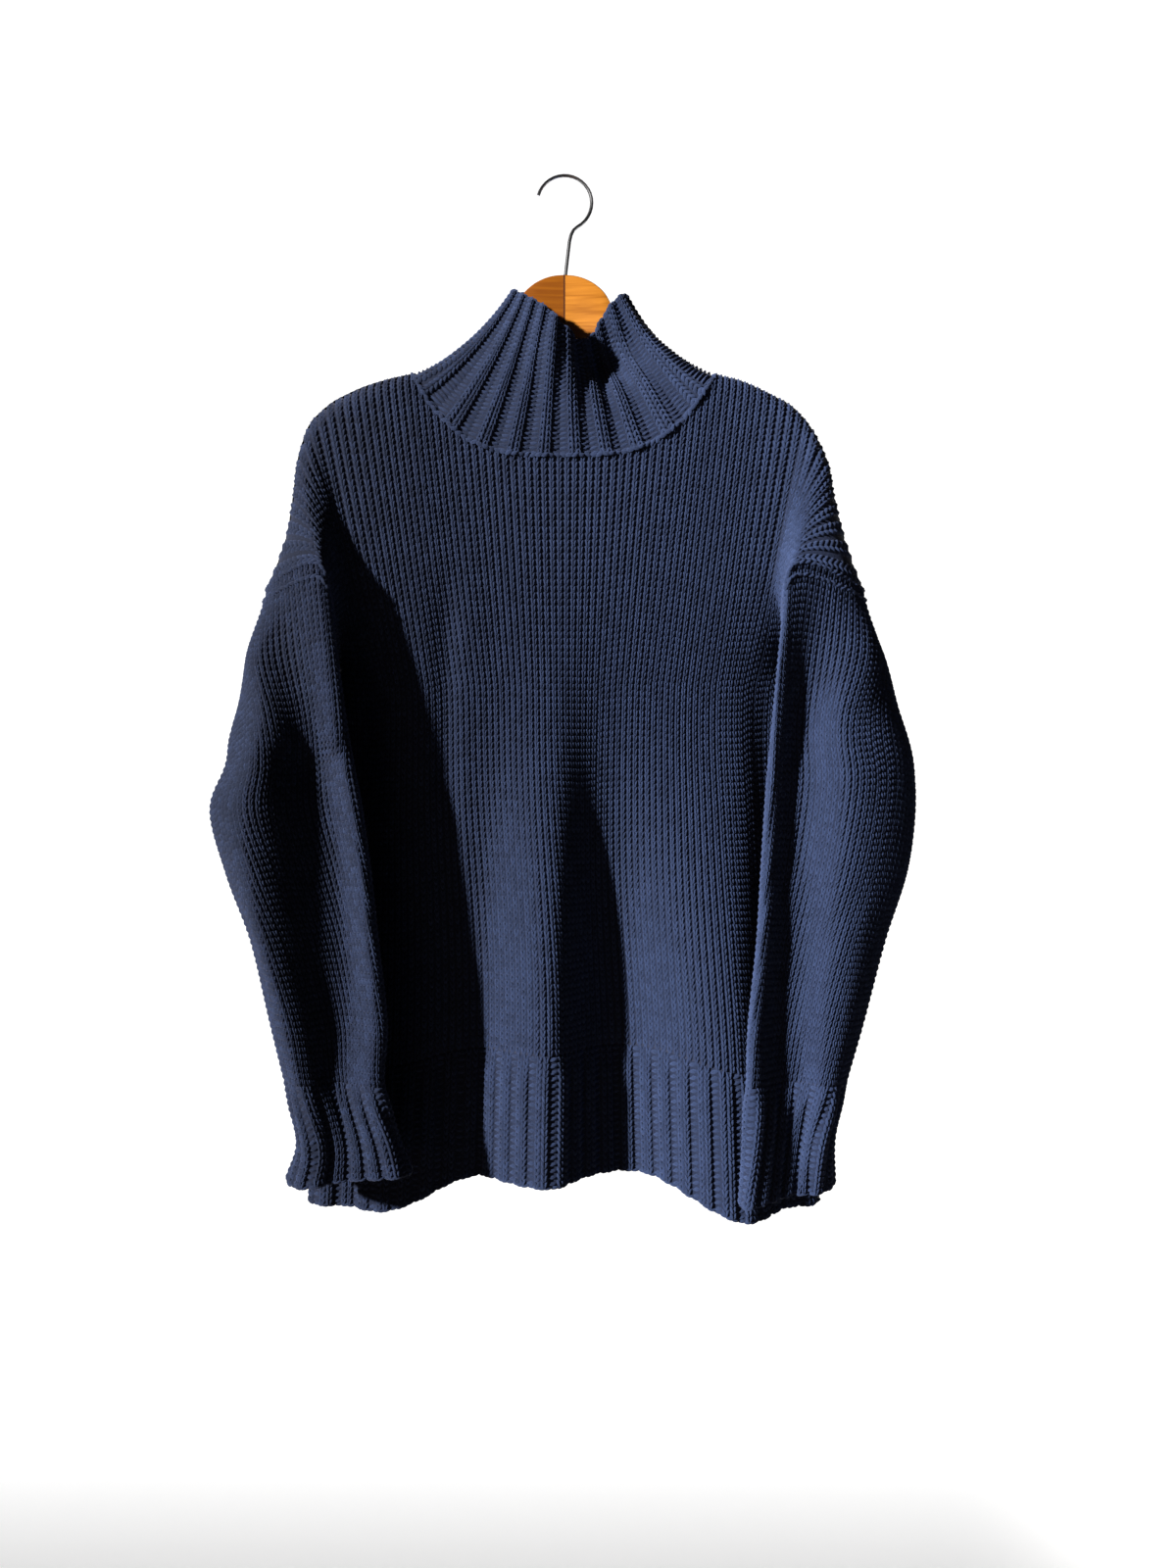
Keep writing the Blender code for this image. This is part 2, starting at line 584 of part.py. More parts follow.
def make_sweater():
    """All the pieces of cloth, each a wall of its own."""
    coarse = {"front": 2, "back": 4}
    wales = {}
    for face, step in coarse.items():
        half = np.concatenate([
            np.arange(0, NECK_WALE - 4, step), np.arange(NECK_WALE - 4, NECK_WALE),
            np.arange(NECK_WALE, SIDE_WALE + 1, 2),
        ]).astype(float)
        wales[face] = np.concatenate([-half[:0:-1], half])
    shoulder_steps = np.array([
        0, 0.02, 0.06, 0.11, 0.17, 0.23, 0.29, 0.35, 0.41, 0.47, 0.54, 0.61, 0.68, 0.74, UNDERARM, 0.9,
    ])
    steps = np.concatenate([shoulder_steps, np.linspace(1, 1 + RIB_START, 5)])
    under = int(np.argmin(np.abs(steps - UNDERARM)))
    points = {face: panel_points(face, wales[face], steps) for face in wales}
    for column in (0, -1):
        middle = (points["front"][under:, column] + points["back"][under:, column]) / 2
        points["front"][under:, column] = middle
        points["back"][under:, column] = middle
    normals = {"front": outward(points["front"], 1), "back": outward(points["back"], -1)}
    moves = {face: np.zeros_like(points[face]) for face in points}

    # Shoulder and side seams, where the front and the back lie edge to edge
    for face, back_way in (("front", 1.0), ("back", -1.0)):
        across = np.array([0, back_way, 0])
        shoulder = np.abs(wales[face]) >= NECK_WALE
        normals[face][0, shoulder] = squared(normals[face][0, shoulder], across)
        moves[face][0, shoulder] -= across * SEAM_GAP / 2
        for column in (0, -1):
            normals[face][under:, column] = squared(normals[face][under:, column], across)
            moves[face][under:, column] -= across * SEAM_GAP / 2

    # Armholes
    sleeves = {-1: LEFT_SLEEVE, 1: RIGHT_SLEEVE}
    corners = []
    tubes = {}
    for side, column in ((-1, 0), (1, -1)):
        beside = {face: points[face][:, 1 if column == 0 else -2] for face in points}
        loop = armhole_loop(points, under, column)
        near = np.concatenate([beside["front"][under::-1], beside["back"][1:under + 1]])
        near[0] = near[-1] = (near[0] + near[-1]) / 2
        shares = shares_of(loop)[:-1]
        end = cuff_level(sleeves[side])
        levels = np.concatenate([[0, 0.2, 0.55], np.linspace(1, end, 7)])
        grid = sleeve_points(sleeves[side], side, loop, shares, levels)
        away = outward(grid, side, around=True)
        ahead = grid[1]
        along_seam = unit(np.roll(loop[:-1], -1, axis=0) - np.roll(loop[:-1], 1, axis=0))
        across = ahead - near[:-1]
        across = unit(across - np.sum(across * along_seam, axis=1, keepdims=True) * along_seam)
        across[0] = (side, 0, 0)
        grid[0] += across * SEAM_GAP / 2
        away[0] = squared(away[0], -across)
        across = np.concatenate([across, across[:1]])
        for face, rows in (("front", np.arange(under, -1, -1)), ("back", np.arange(0, under + 1))):
            part = across[:under + 1] if face == "front" else across[under:]
            moves[face][rows, column] -= part * SEAM_GAP / 2
            normals[face][rows, column] = squared(normals[face][rows, column], part)
        # Three pieces meet over the shoulder and under the arm and share a normal there
        for row, seam_point, way in ((under, 0, (0, 0, -1.0)), (0, under, (side, 0, 0.5))):
            shared = squared(np.array(way), across[seam_point], 0)
            normals["front"][row, column] = normals["back"][row, column] = shared
            away[0, seam_point] = shared
            corners.append(loop[seam_point])
        corners.append(loop[np.argmin(loop[:, 1])])
        tubes[side] = (grid, away, shares, loop)

    # Neckline, from which the collar is knitted up
    neck = {face: np.where(np.abs(wales[face]) <= NECK_WALE)[0] for face in wales}
    rise = {}
    for face in neck:
        edge = points[face][0, neck[face]]
        up = edge - points[face][2, neck[face]]
        seam_way = unit(np.gradient(edge, axis=0))
        rise[face] = unit(up - np.sum(up * seam_way, axis=1, keepdims=True) * seam_way)
    for corner in (0, -1):
        rise["front"][corner] = rise["back"][corner] = unit(rise["front"][corner] + rise["back"][corner])
    for face in neck:
        moves[face][0, neck[face]] -= rise[face] * SEAM_GAP / 2
        normals[face][0, neck[face]] = squared(normals[face][0, neck[face]], rise[face])
    for corner in (0, -1):
        places = {face: neck[face][corner] for face in neck}
        shared = normals["front"][0, places["front"]] + normals["back"][0, places["back"]]
        shared = squared(shared * np.array([1.0, 0, 1.0]), rise["front"][corner], 0)
        for face in neck:
            normals[face][0, places[face]] = shared
        corners.append(points["front"][0, places["front"]])
    for face in points:
        points[face] = points[face] + moves[face]
    inside = {face: inner_points(points[face], normals[face], corners) for face in points}

    for face in points:
        add_wall(face, points[face], inside[face])
        make_hem(face, wales[face], points[face][-1], inside[face][-1])
    make_collar(wales, neck, points, inside, rise, corners)
    for side, word in ((-1, "left"), (1, "right")):
        grid, away, shares, loop = tubes[side]
        inner = inner_points(grid, away, corners, around=True)
        add_wall("sleeve_" + word, grid, inner, around=True)
        make_cuff(word, sleeves[side], side, loop, shares, grid[-1], inner[-1])


def make_hem(face, wales, outer_edge, inner_edge):
    """The ribs below a panel, which start flush with its lower edge."""
    outward_way = 1 if face == "front" else -1
    fine = np.arange(-SIDE_WALE, SIDE_WALE + 1, dtype=float)
    steps = 1 + RIB_START + np.array([0.07, 1.0]) * (1 - RIB_START)
    grid = panel_points(face, fine, steps)
    grid[:, [0, -1], 1] -= outward_way * SEAM_GAP / 2
    away = outward(grid, outward_way)
    away[:, [0, -1]] = squared(away[:, [0, -1]], np.array([0, float(outward_way), 0]))
    drop = np.array([0, 0, -SEAM_GAP])
    raised = rib_heights(len(fine))
    raised[[0, -1]] = 0
    outer = np.concatenate([(between(outer_edge, wales, fine) + drop)[None], grid + away * raised[:, None]])
    inner = np.concatenate([(between(inner_edge, wales, fine) + drop)[None], inner_points(grid, away, [])])
    add_wall("hem_" + face, outer, inner)


def make_cuff(word, rows, side, loop, shares, outer_ring, inner_ring):
    """The ribs below a sleeve, which start flush with its lower edge."""
    even = np.arange(CUFF_WALES) / CUFF_WALES
    start, end = cuff_level(rows), len(rows["height"])
    grid = sleeve_points(rows, side, loop, even, [start + 0.14, (start + end) / 2 + 0.1, end])
    away = outward(grid, side, around=True)
    source = np.append(shares, 1.0)
    drop = np.array([0, 0, -SEAM_GAP])
    tops = [
        between(np.concatenate([ring, ring[:1]]), source, even)[None] + drop
        for ring in (outer_ring, inner_ring)
    ]
    raised = rib_heights(CUFF_WALES)
    add_wall(
        "cuff_" + word,
        np.concatenate([tops[0], grid + away * raised[:, None]]),
        np.concatenate([tops[1], inner_points(grid, away, [], around=True)]),
        around=True,
    )


def make_collar(wales, neck, points, inside, rise, corners):
    """The standing ribs of the collar, from the neckline round the front and the back."""
    fine = {"front": np.arange(-NECK_WALE, NECK_WALE), "back": np.arange(NECK_WALE, -NECK_WALE, -1)}

    def ring(values):
        parts = []
        for face in ("front", "back"):
            parts.append(between(values[face], wales[face][neck[face]], fine[face]))
        return np.concatenate(parts)

    gap = unit(ring(rise)) * SEAM_GAP
    base = ring({face: points[face][0, neck[face]] for face in points}) + gap
    inner_base = ring({face: inside[face][0, neck[face]] for face in points}) + gap
    shares = np.arange(COLLAR_WALES) / COLLAR_WALES
    grid = collar_points(base, shares, [0, 0.09, 0.36, 0.68, 1])
    away = outward(grid, -1, around=True)
    raised = np.roll(rib_heights(COLLAR_WALES, COLLAR_RIB_WALES), 1)
    outer = grid + away * raised[:, None]
    inner = inner_points(grid, away, corners, around=True)
    outer[0], inner[0] = base, inner_base
    add_wall("collar", outer, inner, around=True)


# Hanger


def make_hanger():
    """Two bowed wooden halves, each lofted through eight-sided sections."""
    for side, word in ((-1, "left"), (1, "right")):
        rings = []
        for across, top, bottom, half in zip(*(HANGER[k] for k in ("across", "top", "bottom", "half"))):
            across = max(across, SEAM_GAP / 2)
            if across > NECK_REACH:
                top = min(top, float(shoulder_line(side * across)) - CLOTH_REST)
            forward = float(arm_forward(across))
            cut = 0.6 * half
            for y, z in (
                (-half, top - cut), (-half, bottom + cut), (cut - half, bottom), (half - cut, bottom),
                (half, bottom + cut), (half, top - cut), (half - cut, top), (cut - half, top),
            ):
                rings.append((side * across, forward + y, z))
        count = 8
        faces = []
        for a in range(0, len(rings) - count, count):
            for j in range(count):
                k = (j + 1) % count
                faces.append((a + j, a + k, a + count + k, a + count + j))
        faces.append(tuple(range(count)))
        faces.append(tuple(range(len(rings) - count, len(rings))))
        add_mesh("hanger_" + word, rings, faces, BEECH, 0.4)


def make_hook():
    """A bent wire: most of a circle, a turn back to the middle, and a straight stem."""
    centre = -HOOK_RADIUS + WIRE_RADIUS
    path = []
    for angle in np.radians(np.linspace(165, -62, 23)):
        path.append((HOOK_RADIUS * math.cos(angle), centre + HOOK_RADIUS * math.sin(angle)))
    path += [(0.0082, -0.0485), (0.0060, -0.0530), (0.0046, -0.0590), (0.0035, -0.0680),
             (0.0022, -0.0790), (0.0009, WOOD_TOP + SEAM_GAP)]
    curve = bpy.data.curves.new("hook", "CURVE")
    curve.dimensions = "3D"
    curve.bevel_depth = WIRE_RADIUS
    curve.bevel_resolution = 3
    curve.use_fill_caps = True
    spline = curve.splines.new("POLY")
    spline.points.add(len(path) - 1)
    for point, (across, height) in zip(spline.points, path):
        point.co = (across, 0, height, 1)
    material = bpy.data.materials.new("hook")
    material.use_nodes = True
    shader = material.node_tree.nodes["Principled BSDF"]
    shader.inputs["Base Color"].default_value = (*CHROME, 1)
    shader.inputs["Roughness"].default_value = 0.2
    shader.inputs["Metallic"].default_value = 1.0
    curve.materials.append(material)
    item = bpy.data.objects.new("hook", curve)
    bpy.context.collection.objects.link(item)


for item in list(bpy.data.objects):
    bpy.data.objects.remove(item)
make_sweater()
make_hanger()
make_hook()
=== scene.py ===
"""The looks of the knitted turtleneck sweater on its wooden hanger."""

import math

import bmesh
import bpy
import numpy as np
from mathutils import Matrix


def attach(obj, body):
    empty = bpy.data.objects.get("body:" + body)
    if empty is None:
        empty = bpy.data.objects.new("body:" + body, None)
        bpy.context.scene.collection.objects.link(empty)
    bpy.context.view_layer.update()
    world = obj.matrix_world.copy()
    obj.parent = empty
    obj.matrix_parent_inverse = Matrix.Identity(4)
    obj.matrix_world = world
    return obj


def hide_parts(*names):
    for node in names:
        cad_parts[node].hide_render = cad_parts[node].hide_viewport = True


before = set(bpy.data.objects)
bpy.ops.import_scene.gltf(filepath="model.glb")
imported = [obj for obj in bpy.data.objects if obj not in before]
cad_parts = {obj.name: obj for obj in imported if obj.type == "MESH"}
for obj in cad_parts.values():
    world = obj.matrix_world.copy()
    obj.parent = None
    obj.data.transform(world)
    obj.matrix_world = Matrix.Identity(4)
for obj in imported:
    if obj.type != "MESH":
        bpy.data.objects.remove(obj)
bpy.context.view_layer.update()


# Front and back
# Two panels of chunky navy wool, hand knitted in stocking stitch from the ribs up to the
# neckline and the dropped shoulders. They are sewn together at the shoulders and down the
# sides, and hang in soft folds from the arms of the hanger.
WALL = 0.003  # thickness of the knitted cloth
SIDE_WALE = 42  # stitch columns from the centre line to a side seam
NECK_WALE = 20  # stitch columns from the centre line to a neck point
TIP_WALE = 32  # the stitch column over the tip of the hanger
JOIN_HEIGHT = -0.470  # where the shoulder part of a panel meets its lower part
NECK_BOTTOM = -0.2695  # lowest point of the front neckline
BACK_NECK_BOTTOM = -0.205
HEM_HEIGHT = -0.907  # at the centre line; the hem droops at the sides
RIB_START = 0.74  # of the way from the join to the hem
UNDERARM = 0.8  # of the way down a side stitch column to the underarm
HANGER_REACH = 0.222  # from the middle of the hanger to a tip
ARM_BOW = 0.036  # how far forward the tips of its arms lie


def table(names, *rows):
    """Named columns from rows, one row for each section, fold or level."""
    return {name: np.array(column, float) for name, column in zip(names.split(), zip(*rows))}


# The line along the top of the shoulder and down the outside of the dropped shoulder
SHOULDER = table(
    "wale left right forward height",
    (20, 0.1370, 0.1370, -0.018, -0.1885),
    (24, 0.1620, 0.1600, -0.023, -0.1960),
    (28, 0.1890, 0.1830, -0.029, -0.2080),
    (31, 0.2110, 0.2050, -0.035, -0.2230),
    (33, 0.2250, 0.2185, -0.037, -0.2400),
    (35, 0.2340, 0.2320, -0.038, -0.2680),
    (38, 0.2385, 0.2395, -0.040, -0.3060),
    (40, 0.2445, 0.2480, -0.041, -0.3420),
    (42, 0.2605, 0.2635, -0.042, -0.3880),
)
# Where the cloth lies from top to bottom: the flat front and back, the line of the
# side seams and the half widths
BODY = table(
    "height front back seam left right",
    (-0.16, -0.036, 0.012, 0.000, 0.214, 0.214),
    (-0.19, -0.042, 0.014, 0.000, 0.214, 0.214),
    (-0.25, -0.051, 0.024, 0.000, 0.214, 0.214),
    (-0.36, -0.051, 0.034, 0.000, 0.214, 0.214),
    (-0.47, -0.041, 0.044, 0.000, 0.205, 0.205),
    (-0.60, -0.033, 0.050, 0.004, 0.213, 0.213),
    (-0.75, -0.028, 0.054, 0.008, 0.224, 0.224),
    (-0.94, -0.026, 0.056, 0.008, 0.236, 0.236),
)
# Folds as soft ridges: where they start and are full, their middle there and at the
# hem, how far they stand out, and the width of their left and right flanks
FRONT_FOLDS = table(
    "starts full middle hem_middle depth left right",
    (-0.38, -0.75, -0.006, -0.012, 0.036, 0.045, 0.024),
    (-0.42, -0.75, 0.030, 0.056, -0.018, 0.030, 0.035),
    (-0.50, -0.80, 0.135, 0.158, 0.034, 0.060, 0.035),
    (-0.45, -0.85, -0.070, -0.076, -0.008, 0.022, 0.018),
    (-0.36, -0.42, -0.104, -0.106, -0.005, 0.012, 0.012),
    (-0.42, -0.55, -0.176, -0.200, -0.016, 0.020, 0.018),
    (-0.42, -0.55, 0.178, 0.203, -0.014, 0.018, 0.018),
)
BACK_FOLDS = table(
    "starts full middle hem_middle depth left right",
    (-0.42, -0.80, -0.120, -0.135, 0.020, 0.040, 0.034),
    (-0.36, -0.75, -0.030, -0.040, 0.017, 0.036, 0.042),
    (-0.48, -0.80, 0.055, 0.050, 0.024, 0.030, 0.038),
    (-0.42, -0.80, 0.140, 0.150, 0.015, 0.034, 0.030),
)
# The way of a stitch column over the dropped shoulder, at the tip of the hanger and
# at the armhole: across, forward and height at each step down the column
DROP_STEPS = (0.0, 0.35, 0.6, UNDERARM, 1.0)
FRONT_DROP = table(
    "step tip_across tip_forward tip_height edge_across edge_forward edge_height",
    (0.35, 0.2140, -0.055, -0.305, 0.2060, -0.088, -0.370),
    (0.60, 0.1990, -0.051, -0.372, 0.1990, -0.072, -0.405),
    (0.80, 0.1960, -0.046, -0.423, 0.2050, -0.003, -0.447),
)
BACK_DROP = table(
    "step tip_across tip_forward tip_height edge_across edge_forward edge_height",
    (0.35, 0.2140, 0.006, -0.305, 0.2230, 0.016, -0.368),
    (0.60, 0.2010, 0.026, -0.372, 0.2140, 0.030, -0.404),
    (0.80, 0.1980, 0.038, -0.423, 0.2050, -0.003, -0.447),
)


def smooth(at, places, values):
    """Values between the rows of a table, on a smooth curve through them."""
    values = np.asarray(values, float)
    at = np.clip(np.asarray(at, float), places[0], places[-1])
    row = np.clip(np.searchsorted(places, at, side="right") - 1, 0, len(places) - 2)
    step = places[row + 1] - places[row]
    share = (at - places[row]) / step
    slopes = np.gradient(values, places, axis=0)
    if values.ndim > 1:
        share, step = share[..., None], step[..., None]
    keep = 1 - share
    return (
        values[row] * keep * keep * (1 + 2 * share)
        + values[row + 1] * share * share * (3 - 2 * share)
        + slopes[row] * step * share * keep * keep
        - slopes[row + 1] * step * share * share * keep
    )


def ease(value, low, high):
    """From 0 at low to 1 at high, with soft ends."""
    share = np.clip((value - low) / (high - low), 0, 1)
    return share * share * (3 - 2 * share)


def unit(vectors):
    return vectors / np.maximum(np.linalg.norm(vectors, axis=-1, keepdims=True), 1e-12)


def along(points, shares):
    """Points at the given shares of a line's length."""
    lengths = np.concatenate([[0], np.cumsum(np.linalg.norm(np.diff(points, axis=0), axis=1))])
    wanted = np.asarray(shares) * lengths[-1]
    return np.stack([np.interp(wanted, lengths, points[:, k]) for k in range(3)], -1)


def body_row(name, height):
    return smooth(-np.asarray(height, float), -BODY["height"], BODY[name])


def half_width(across, height):
    return np.where(across < 0, body_row("left", height), body_row("right", height))


def folds(rows, across, height):
    """How far all the folds together stand out."""
    out = np.zeros(np.broadcast(across, height).shape)
    for k in range(len(rows["depth"])):
        down = np.clip((height - rows["starts"][k]) / (HEM_HEIGHT - rows["starts"][k]), 0, 1)
        offset = across - (rows["middle"][k] + (rows["hem_middle"][k] - rows["middle"][k]) * down)
        flank = np.where(offset < 0, rows["left"][k], rows["right"][k])
        grown = ease(-height, -rows["starts"][k], -rows["full"][k])
        out = out + rows["depth"][k] * grown * np.exp(-((offset / flank) ** 2))
    return out


def arm_forward(across):
    """The middle plane of the hanger's arms, which bow forward."""
    return -ARM_BOW * (np.abs(across) / HANGER_REACH) ** 1.4


def shoulder_line(across):
    """Height of the shoulder above a place, also inside the neck."""
    side = np.abs(across)
    left = smooth(side, SHOULDER["left"], SHOULDER["height"])
    right = smooth(side, SHOULDER["right"], SHOULDER["height"])
    inside = SHOULDER["height"][0] + 0.45 * (SHOULDER["left"][0] - side)
    return np.where(side < SHOULDER["left"][0], inside, np.where(across < 0, left, right))


def panel_depth(face, across, height):
    """How far forward or back a panel lies: flat, folded, and round over the shoulder."""
    across, height = np.asarray(across, float), np.asarray(height, float)
    sign = -1 if face == "front" else 1
    flat = body_row(face, height)
    near_arm = 1 - ease(-height, 0.24, 0.40)
    if face == "back":
        flat = flat + (arm_forward(across) + 0.017 - flat) * near_arm
    flat = flat + sign * folds(FRONT_FOLDS if face == "front" else BACK_FOLDS, across, height)
    width = half_width(across, height)
    seam = body_row("seam", height)
    rounded = np.sqrt(np.clip(1 - np.abs(across / width) ** 4, 0, 1))
    low = ease(-height, 0.36, -JOIN_HEIGHT)
    depth = flat + (seam + (flat - seam) * rounded - flat) * low
    below = np.clip((shoulder_line(across) - height) / 0.022, 0, 1)
    top = arm_forward(across)
    return top + (depth - top) * np.sqrt(1 - (1 - below) ** 2)


def top_edge(face, wales):
    """The neckline and the shoulder line of a panel."""
    out = np.abs(wales)
    shoulder = np.stack(
        [
            np.sign(wales) * np.where(
                wales < 0,
                smooth(out, SHOULDER["wale"], SHOULDER["left"]),
                smooth(out, SHOULDER["wale"], SHOULDER["right"]),
            ),
            smooth(out, SHOULDER["wale"], SHOULDER["forward"]),
            smooth(out, SHOULDER["wale"], SHOULDER["height"]),
        ],
        -1,
    )
    point = np.where(wales < 0, SHOULDER["left"][0], SHOULDER["right"][0])
    across = point * wales / NECK_WALE
    bottom, power = (NECK_BOTTOM, 3.5) if face == "front" else (BACK_NECK_BOTTOM, 2.5)
    height = bottom + (SHOULDER["height"][0] - bottom) * (out / NECK_WALE) ** power
    neck = np.stack([across, panel_depth(face, across, height), height], -1)
    # The middle plane of the arm carries the shoulder seam
    arm = np.abs(shoulder[:, 0]) <= HANGER_REACH
    shoulder[:, 1] = np.where(arm, arm_forward(shoulder[:, 0]), shoulder[:, 1])
    return np.where((out <= NECK_WALE)[:, None], neck, shoulder)


def level_points(face, wales, level):
    """Points of a panel at one level of its lower part, evenly spread along the cloth."""
    height = JOIN_HEIGHT + (HEM_HEIGHT - JOIN_HEIGHT) * level
    turn = np.linspace(0, math.pi, 721)
    ends = half_width(np.array([-1.0, 1.0]), np.array([height, height]))
    across = np.where(turn < math.pi / 2, -ends[0], -ends[1]) * np.cos(turn)
    heights = np.full(across.shape, height)
    line = np.stack([across, panel_depth(face, across, heights), heights], -1)
    points = along(line, (wales + SIDE_WALE) / (2 * SIDE_WALE))
    droop = 0.034 * ease(np.abs(points[:, 0]), 0.07, 0.17) * level**2
    points[:, 2] -= droop
    return points


def upper_points(face, wales, step):
    """Points of a panel's shoulder part, at a step down each stitch column."""
    out = np.abs(wales)
    top = top_edge(face, wales)
    join = level_points(face, wales, 0.0)
    inner = np.clip(wales, -TIP_WALE, TIP_WALE)
    inner_top = top_edge(face, inner)
    inner_join = level_points(face, inner, 0.0)

    def column(at):
        across = inner_top[:, 0] + (inner_join[:, 0] - inner_top[:, 0]) * at
        height = inner_top[:, 2] + (JOIN_HEIGHT - inner_top[:, 2]) * at
        return np.stack([across, panel_depth(face, across, height), height], -1)

    drop = FRONT_DROP if face == "front" else BACK_DROP
    share = np.clip((out - TIP_WALE) / (SIDE_WALE - TIP_WALE), 0, 1)[:, None]
    side = np.sign(wales)[:, None] * np.array([[1.0, 0, 0]]) + np.array([[0, 1.0, 1.0]])
    tip = np.stack([drop["tip_" + k] for k in ("across", "forward", "height")], -1)
    edge = np.stack([drop["edge_" + k] for k in ("across", "forward", "height")], -1)
    if face == "front":
        shift = np.where(wales > 0, -0.009, 0.0)[:, None] * np.array([[1.0, 0, 0]])
    else:
        shift = np.zeros((len(wales), 3))
    guides = [top]
    for k in range(3):
        guides.append((tip[k] + (edge[k] - tip[k]) * share + shift * share * (k < 2)) * side)
    guides.append(join)
    tips = [inner_top] + [tip[k] * side for k in range(3)] + [inner_join]
    steps = np.array(DROP_STEPS)
    away = np.array([0.0, -0.26 if face == "front" else 0.2, 0.0])

    def spline(points):
        values = np.stack(points)
        slopes = np.gradient(values, steps, axis=0)
        slopes[0] = away
        row = min(int(np.searchsorted(steps, step, side="right")) - 1, len(steps) - 2)
        gap = steps[row + 1] - steps[row]
        part = (step - steps[row]) / gap
        keep = 1 - part
        return (
            values[row] * keep * keep * (1 + 2 * part)
            + values[row + 1] * part * part * (3 - 2 * part)
            + slopes[row] * gap * part * keep * keep
            - slopes[row + 1] * gap * part * part * keep
        )

    dropped = spline(guides) + (column(step) - spline(tips)) * (1 - share) ** 2
    return np.where((out <= TIP_WALE)[:, None], column(step), dropped)


def panel_points(face, wales, steps):
    """A grid of points: 0 to 1 is the shoulder part, 1 to 2 the lower part."""
    wales = np.asarray(wales, float)
    return np.stack([
        upper_points(face, wales, step) if step < 1 else level_points(face, wales, step - 1)
        for step in steps
    ])


def outward(points, sign, around=False):
    """Normals of a grid of points."""
    down = np.gradient(points, axis=0)
    if around:
        across = np.roll(points, -1, axis=1) - np.roll(points, 1, axis=1)
    else:
        across = np.gradient(points, axis=1)
    return sign * unit(np.cross(down, across))


def principled(name):
    material = bpy.data.materials.new(name)
    material.use_nodes = True
    tree = material.node_tree
    return material, tree, tree.nodes["Principled BSDF"]


def set_inputs(node, values):
    for key, value in values.items():
        node.inputs[key].default_value = value


def add_node(tree, kind, inputs=None, **settings):
    """A new node of a tree, with its settings and the values of its inputs."""
    node = tree.nodes.new(kind)
    for key, value in settings.items():
        setattr(node, key, value)
    set_inputs(node, inputs or {})
    return node


def link_all(tree, *links):
    """Links, each from an output of a node to an input of another."""
    for node, output, goal, socket in links:
        tree.links.new(node.outputs[output], goal.inputs[socket])


def add_ramp(tree, dark_place, dark, light_place, light):
    """A ramp between two colours."""
    node = tree.nodes.new("ShaderNodeValToRGB")
    first, last = node.color_ramp.elements
    first.position, first.color = dark_place, (*dark, 1)
    last.position, last.color = light_place, (*light, 1)
    return node


def yarn_material(name, dark, light, bump):
    """Matte wool with fine fibres, a tint for each stitch, and painted shade that darkens its left side."""
    material, tree, shader = principled(name)
    place = add_node(tree, "ShaderNodeTexCoord")
    fibres = add_node(tree, "ShaderNodeTexNoise", {"Scale": 900, "Detail": 3})
    tint = add_node(tree, "ShaderNodeAttribute", attribute_name="tint")
    place_parts = add_node(tree, "ShaderNodeSeparateXYZ")
    # Painted shade and light: the colour darkens steadily towards the left side and lightens a little on
    # the right, so the left sleeve and chest look less lit by the key light.
    across = add_node(tree, "ShaderNodeMapRange", {
        "From Min": -0.30, "From Max": 0.10, "To Min": -0.36, "To Max": 0.06,
    })
    tone_and_painted_shade = add_node(tree, "ShaderNodeMath", operation="ADD")
    fibre_share = add_node(tree, "ShaderNodeMath", {1: 0.9}, operation="MULTIPLY_ADD")
    colours = add_ramp(tree, 0.08, dark, 0.78, light)
    relief = add_node(tree, "ShaderNodeBump", {"Strength": bump, "Distance": 0.0006})
    link_all(
        tree,
        (place, "Object", fibres, "Vector"),
        (fibres, "Fac", fibre_share, 0),
        (tint, "Fac", fibre_share, 2),
        (place, "Object", place_parts, "Vector"),
        (place_parts, "X", across, "Value"),
        (fibre_share, 0, tone_and_painted_shade, 0),
        (across, "Result", tone_and_painted_shade, 1),
        (tone_and_painted_shade, 0, colours, "Fac"),
        (colours, "Color", shader, "Base Color"),
        (fibres, "Fac", relief, "Height"),
        (relief, "Normal", shader, "Normal"),
    )
    set_inputs(shader, {
        "Roughness": 0.92, "Specular IOR Level": 0.18, "Diffuse Roughness": 1.0,
        "Sheen Weight": 0.06, "Sheen Roughness": 0.5, "Sheen Tint": (0.70, 0.62, 0.56, 1),
    })
    return material


yarn = yarn_material("yarn", (0.007, 0.012, 0.031), (0.032, 0.052, 0.125), 0.5)
# Painted shade: the ground shell that shows between the stitches is a darker copy of the yarn, for the
# shade in the gaps.
shaded_ground = yarn_material("yarn_ground_shaded", (0.005, 0.008, 0.021), (0.017, 0.027, 0.065), 0.7)


def leg(start, end, half, crest, sink, lean=0):
    """Points and faces of a spindle of yarn from start to end, which may lean to one side."""
    start, end = np.array(start, float), np.array(end, float)
    way = (end - start) / np.linalg.norm(end - start)
    beside = np.array([-way[1], way[0]])
    points = [(*start, -sink)]
    for share, width, height in ((0.22, 0.82, 0.62), (0.5, 1.0, 1.0), (0.78, 0.82, 0.62)):
        middle = start + (end - start) * share
        for k, z in ((-1, -0.35), (0, 1.0), (1, -0.35)):
            place = middle + beside * half * width * k
            points.append((*place, crest * height * z if k == 0 else crest * (z + lean * k)))
    points.append((*end, -sink))
    faces = [(0, 2, 1), (0, 3, 2)]
    for a in (1, 4):
        faces += [(a, a + 1, a + 4, a + 3), (a + 1, a + 2, a + 5, a + 4)]
    faces += [(7, 8, 10), (8, 9, 10)]
    return points, faces


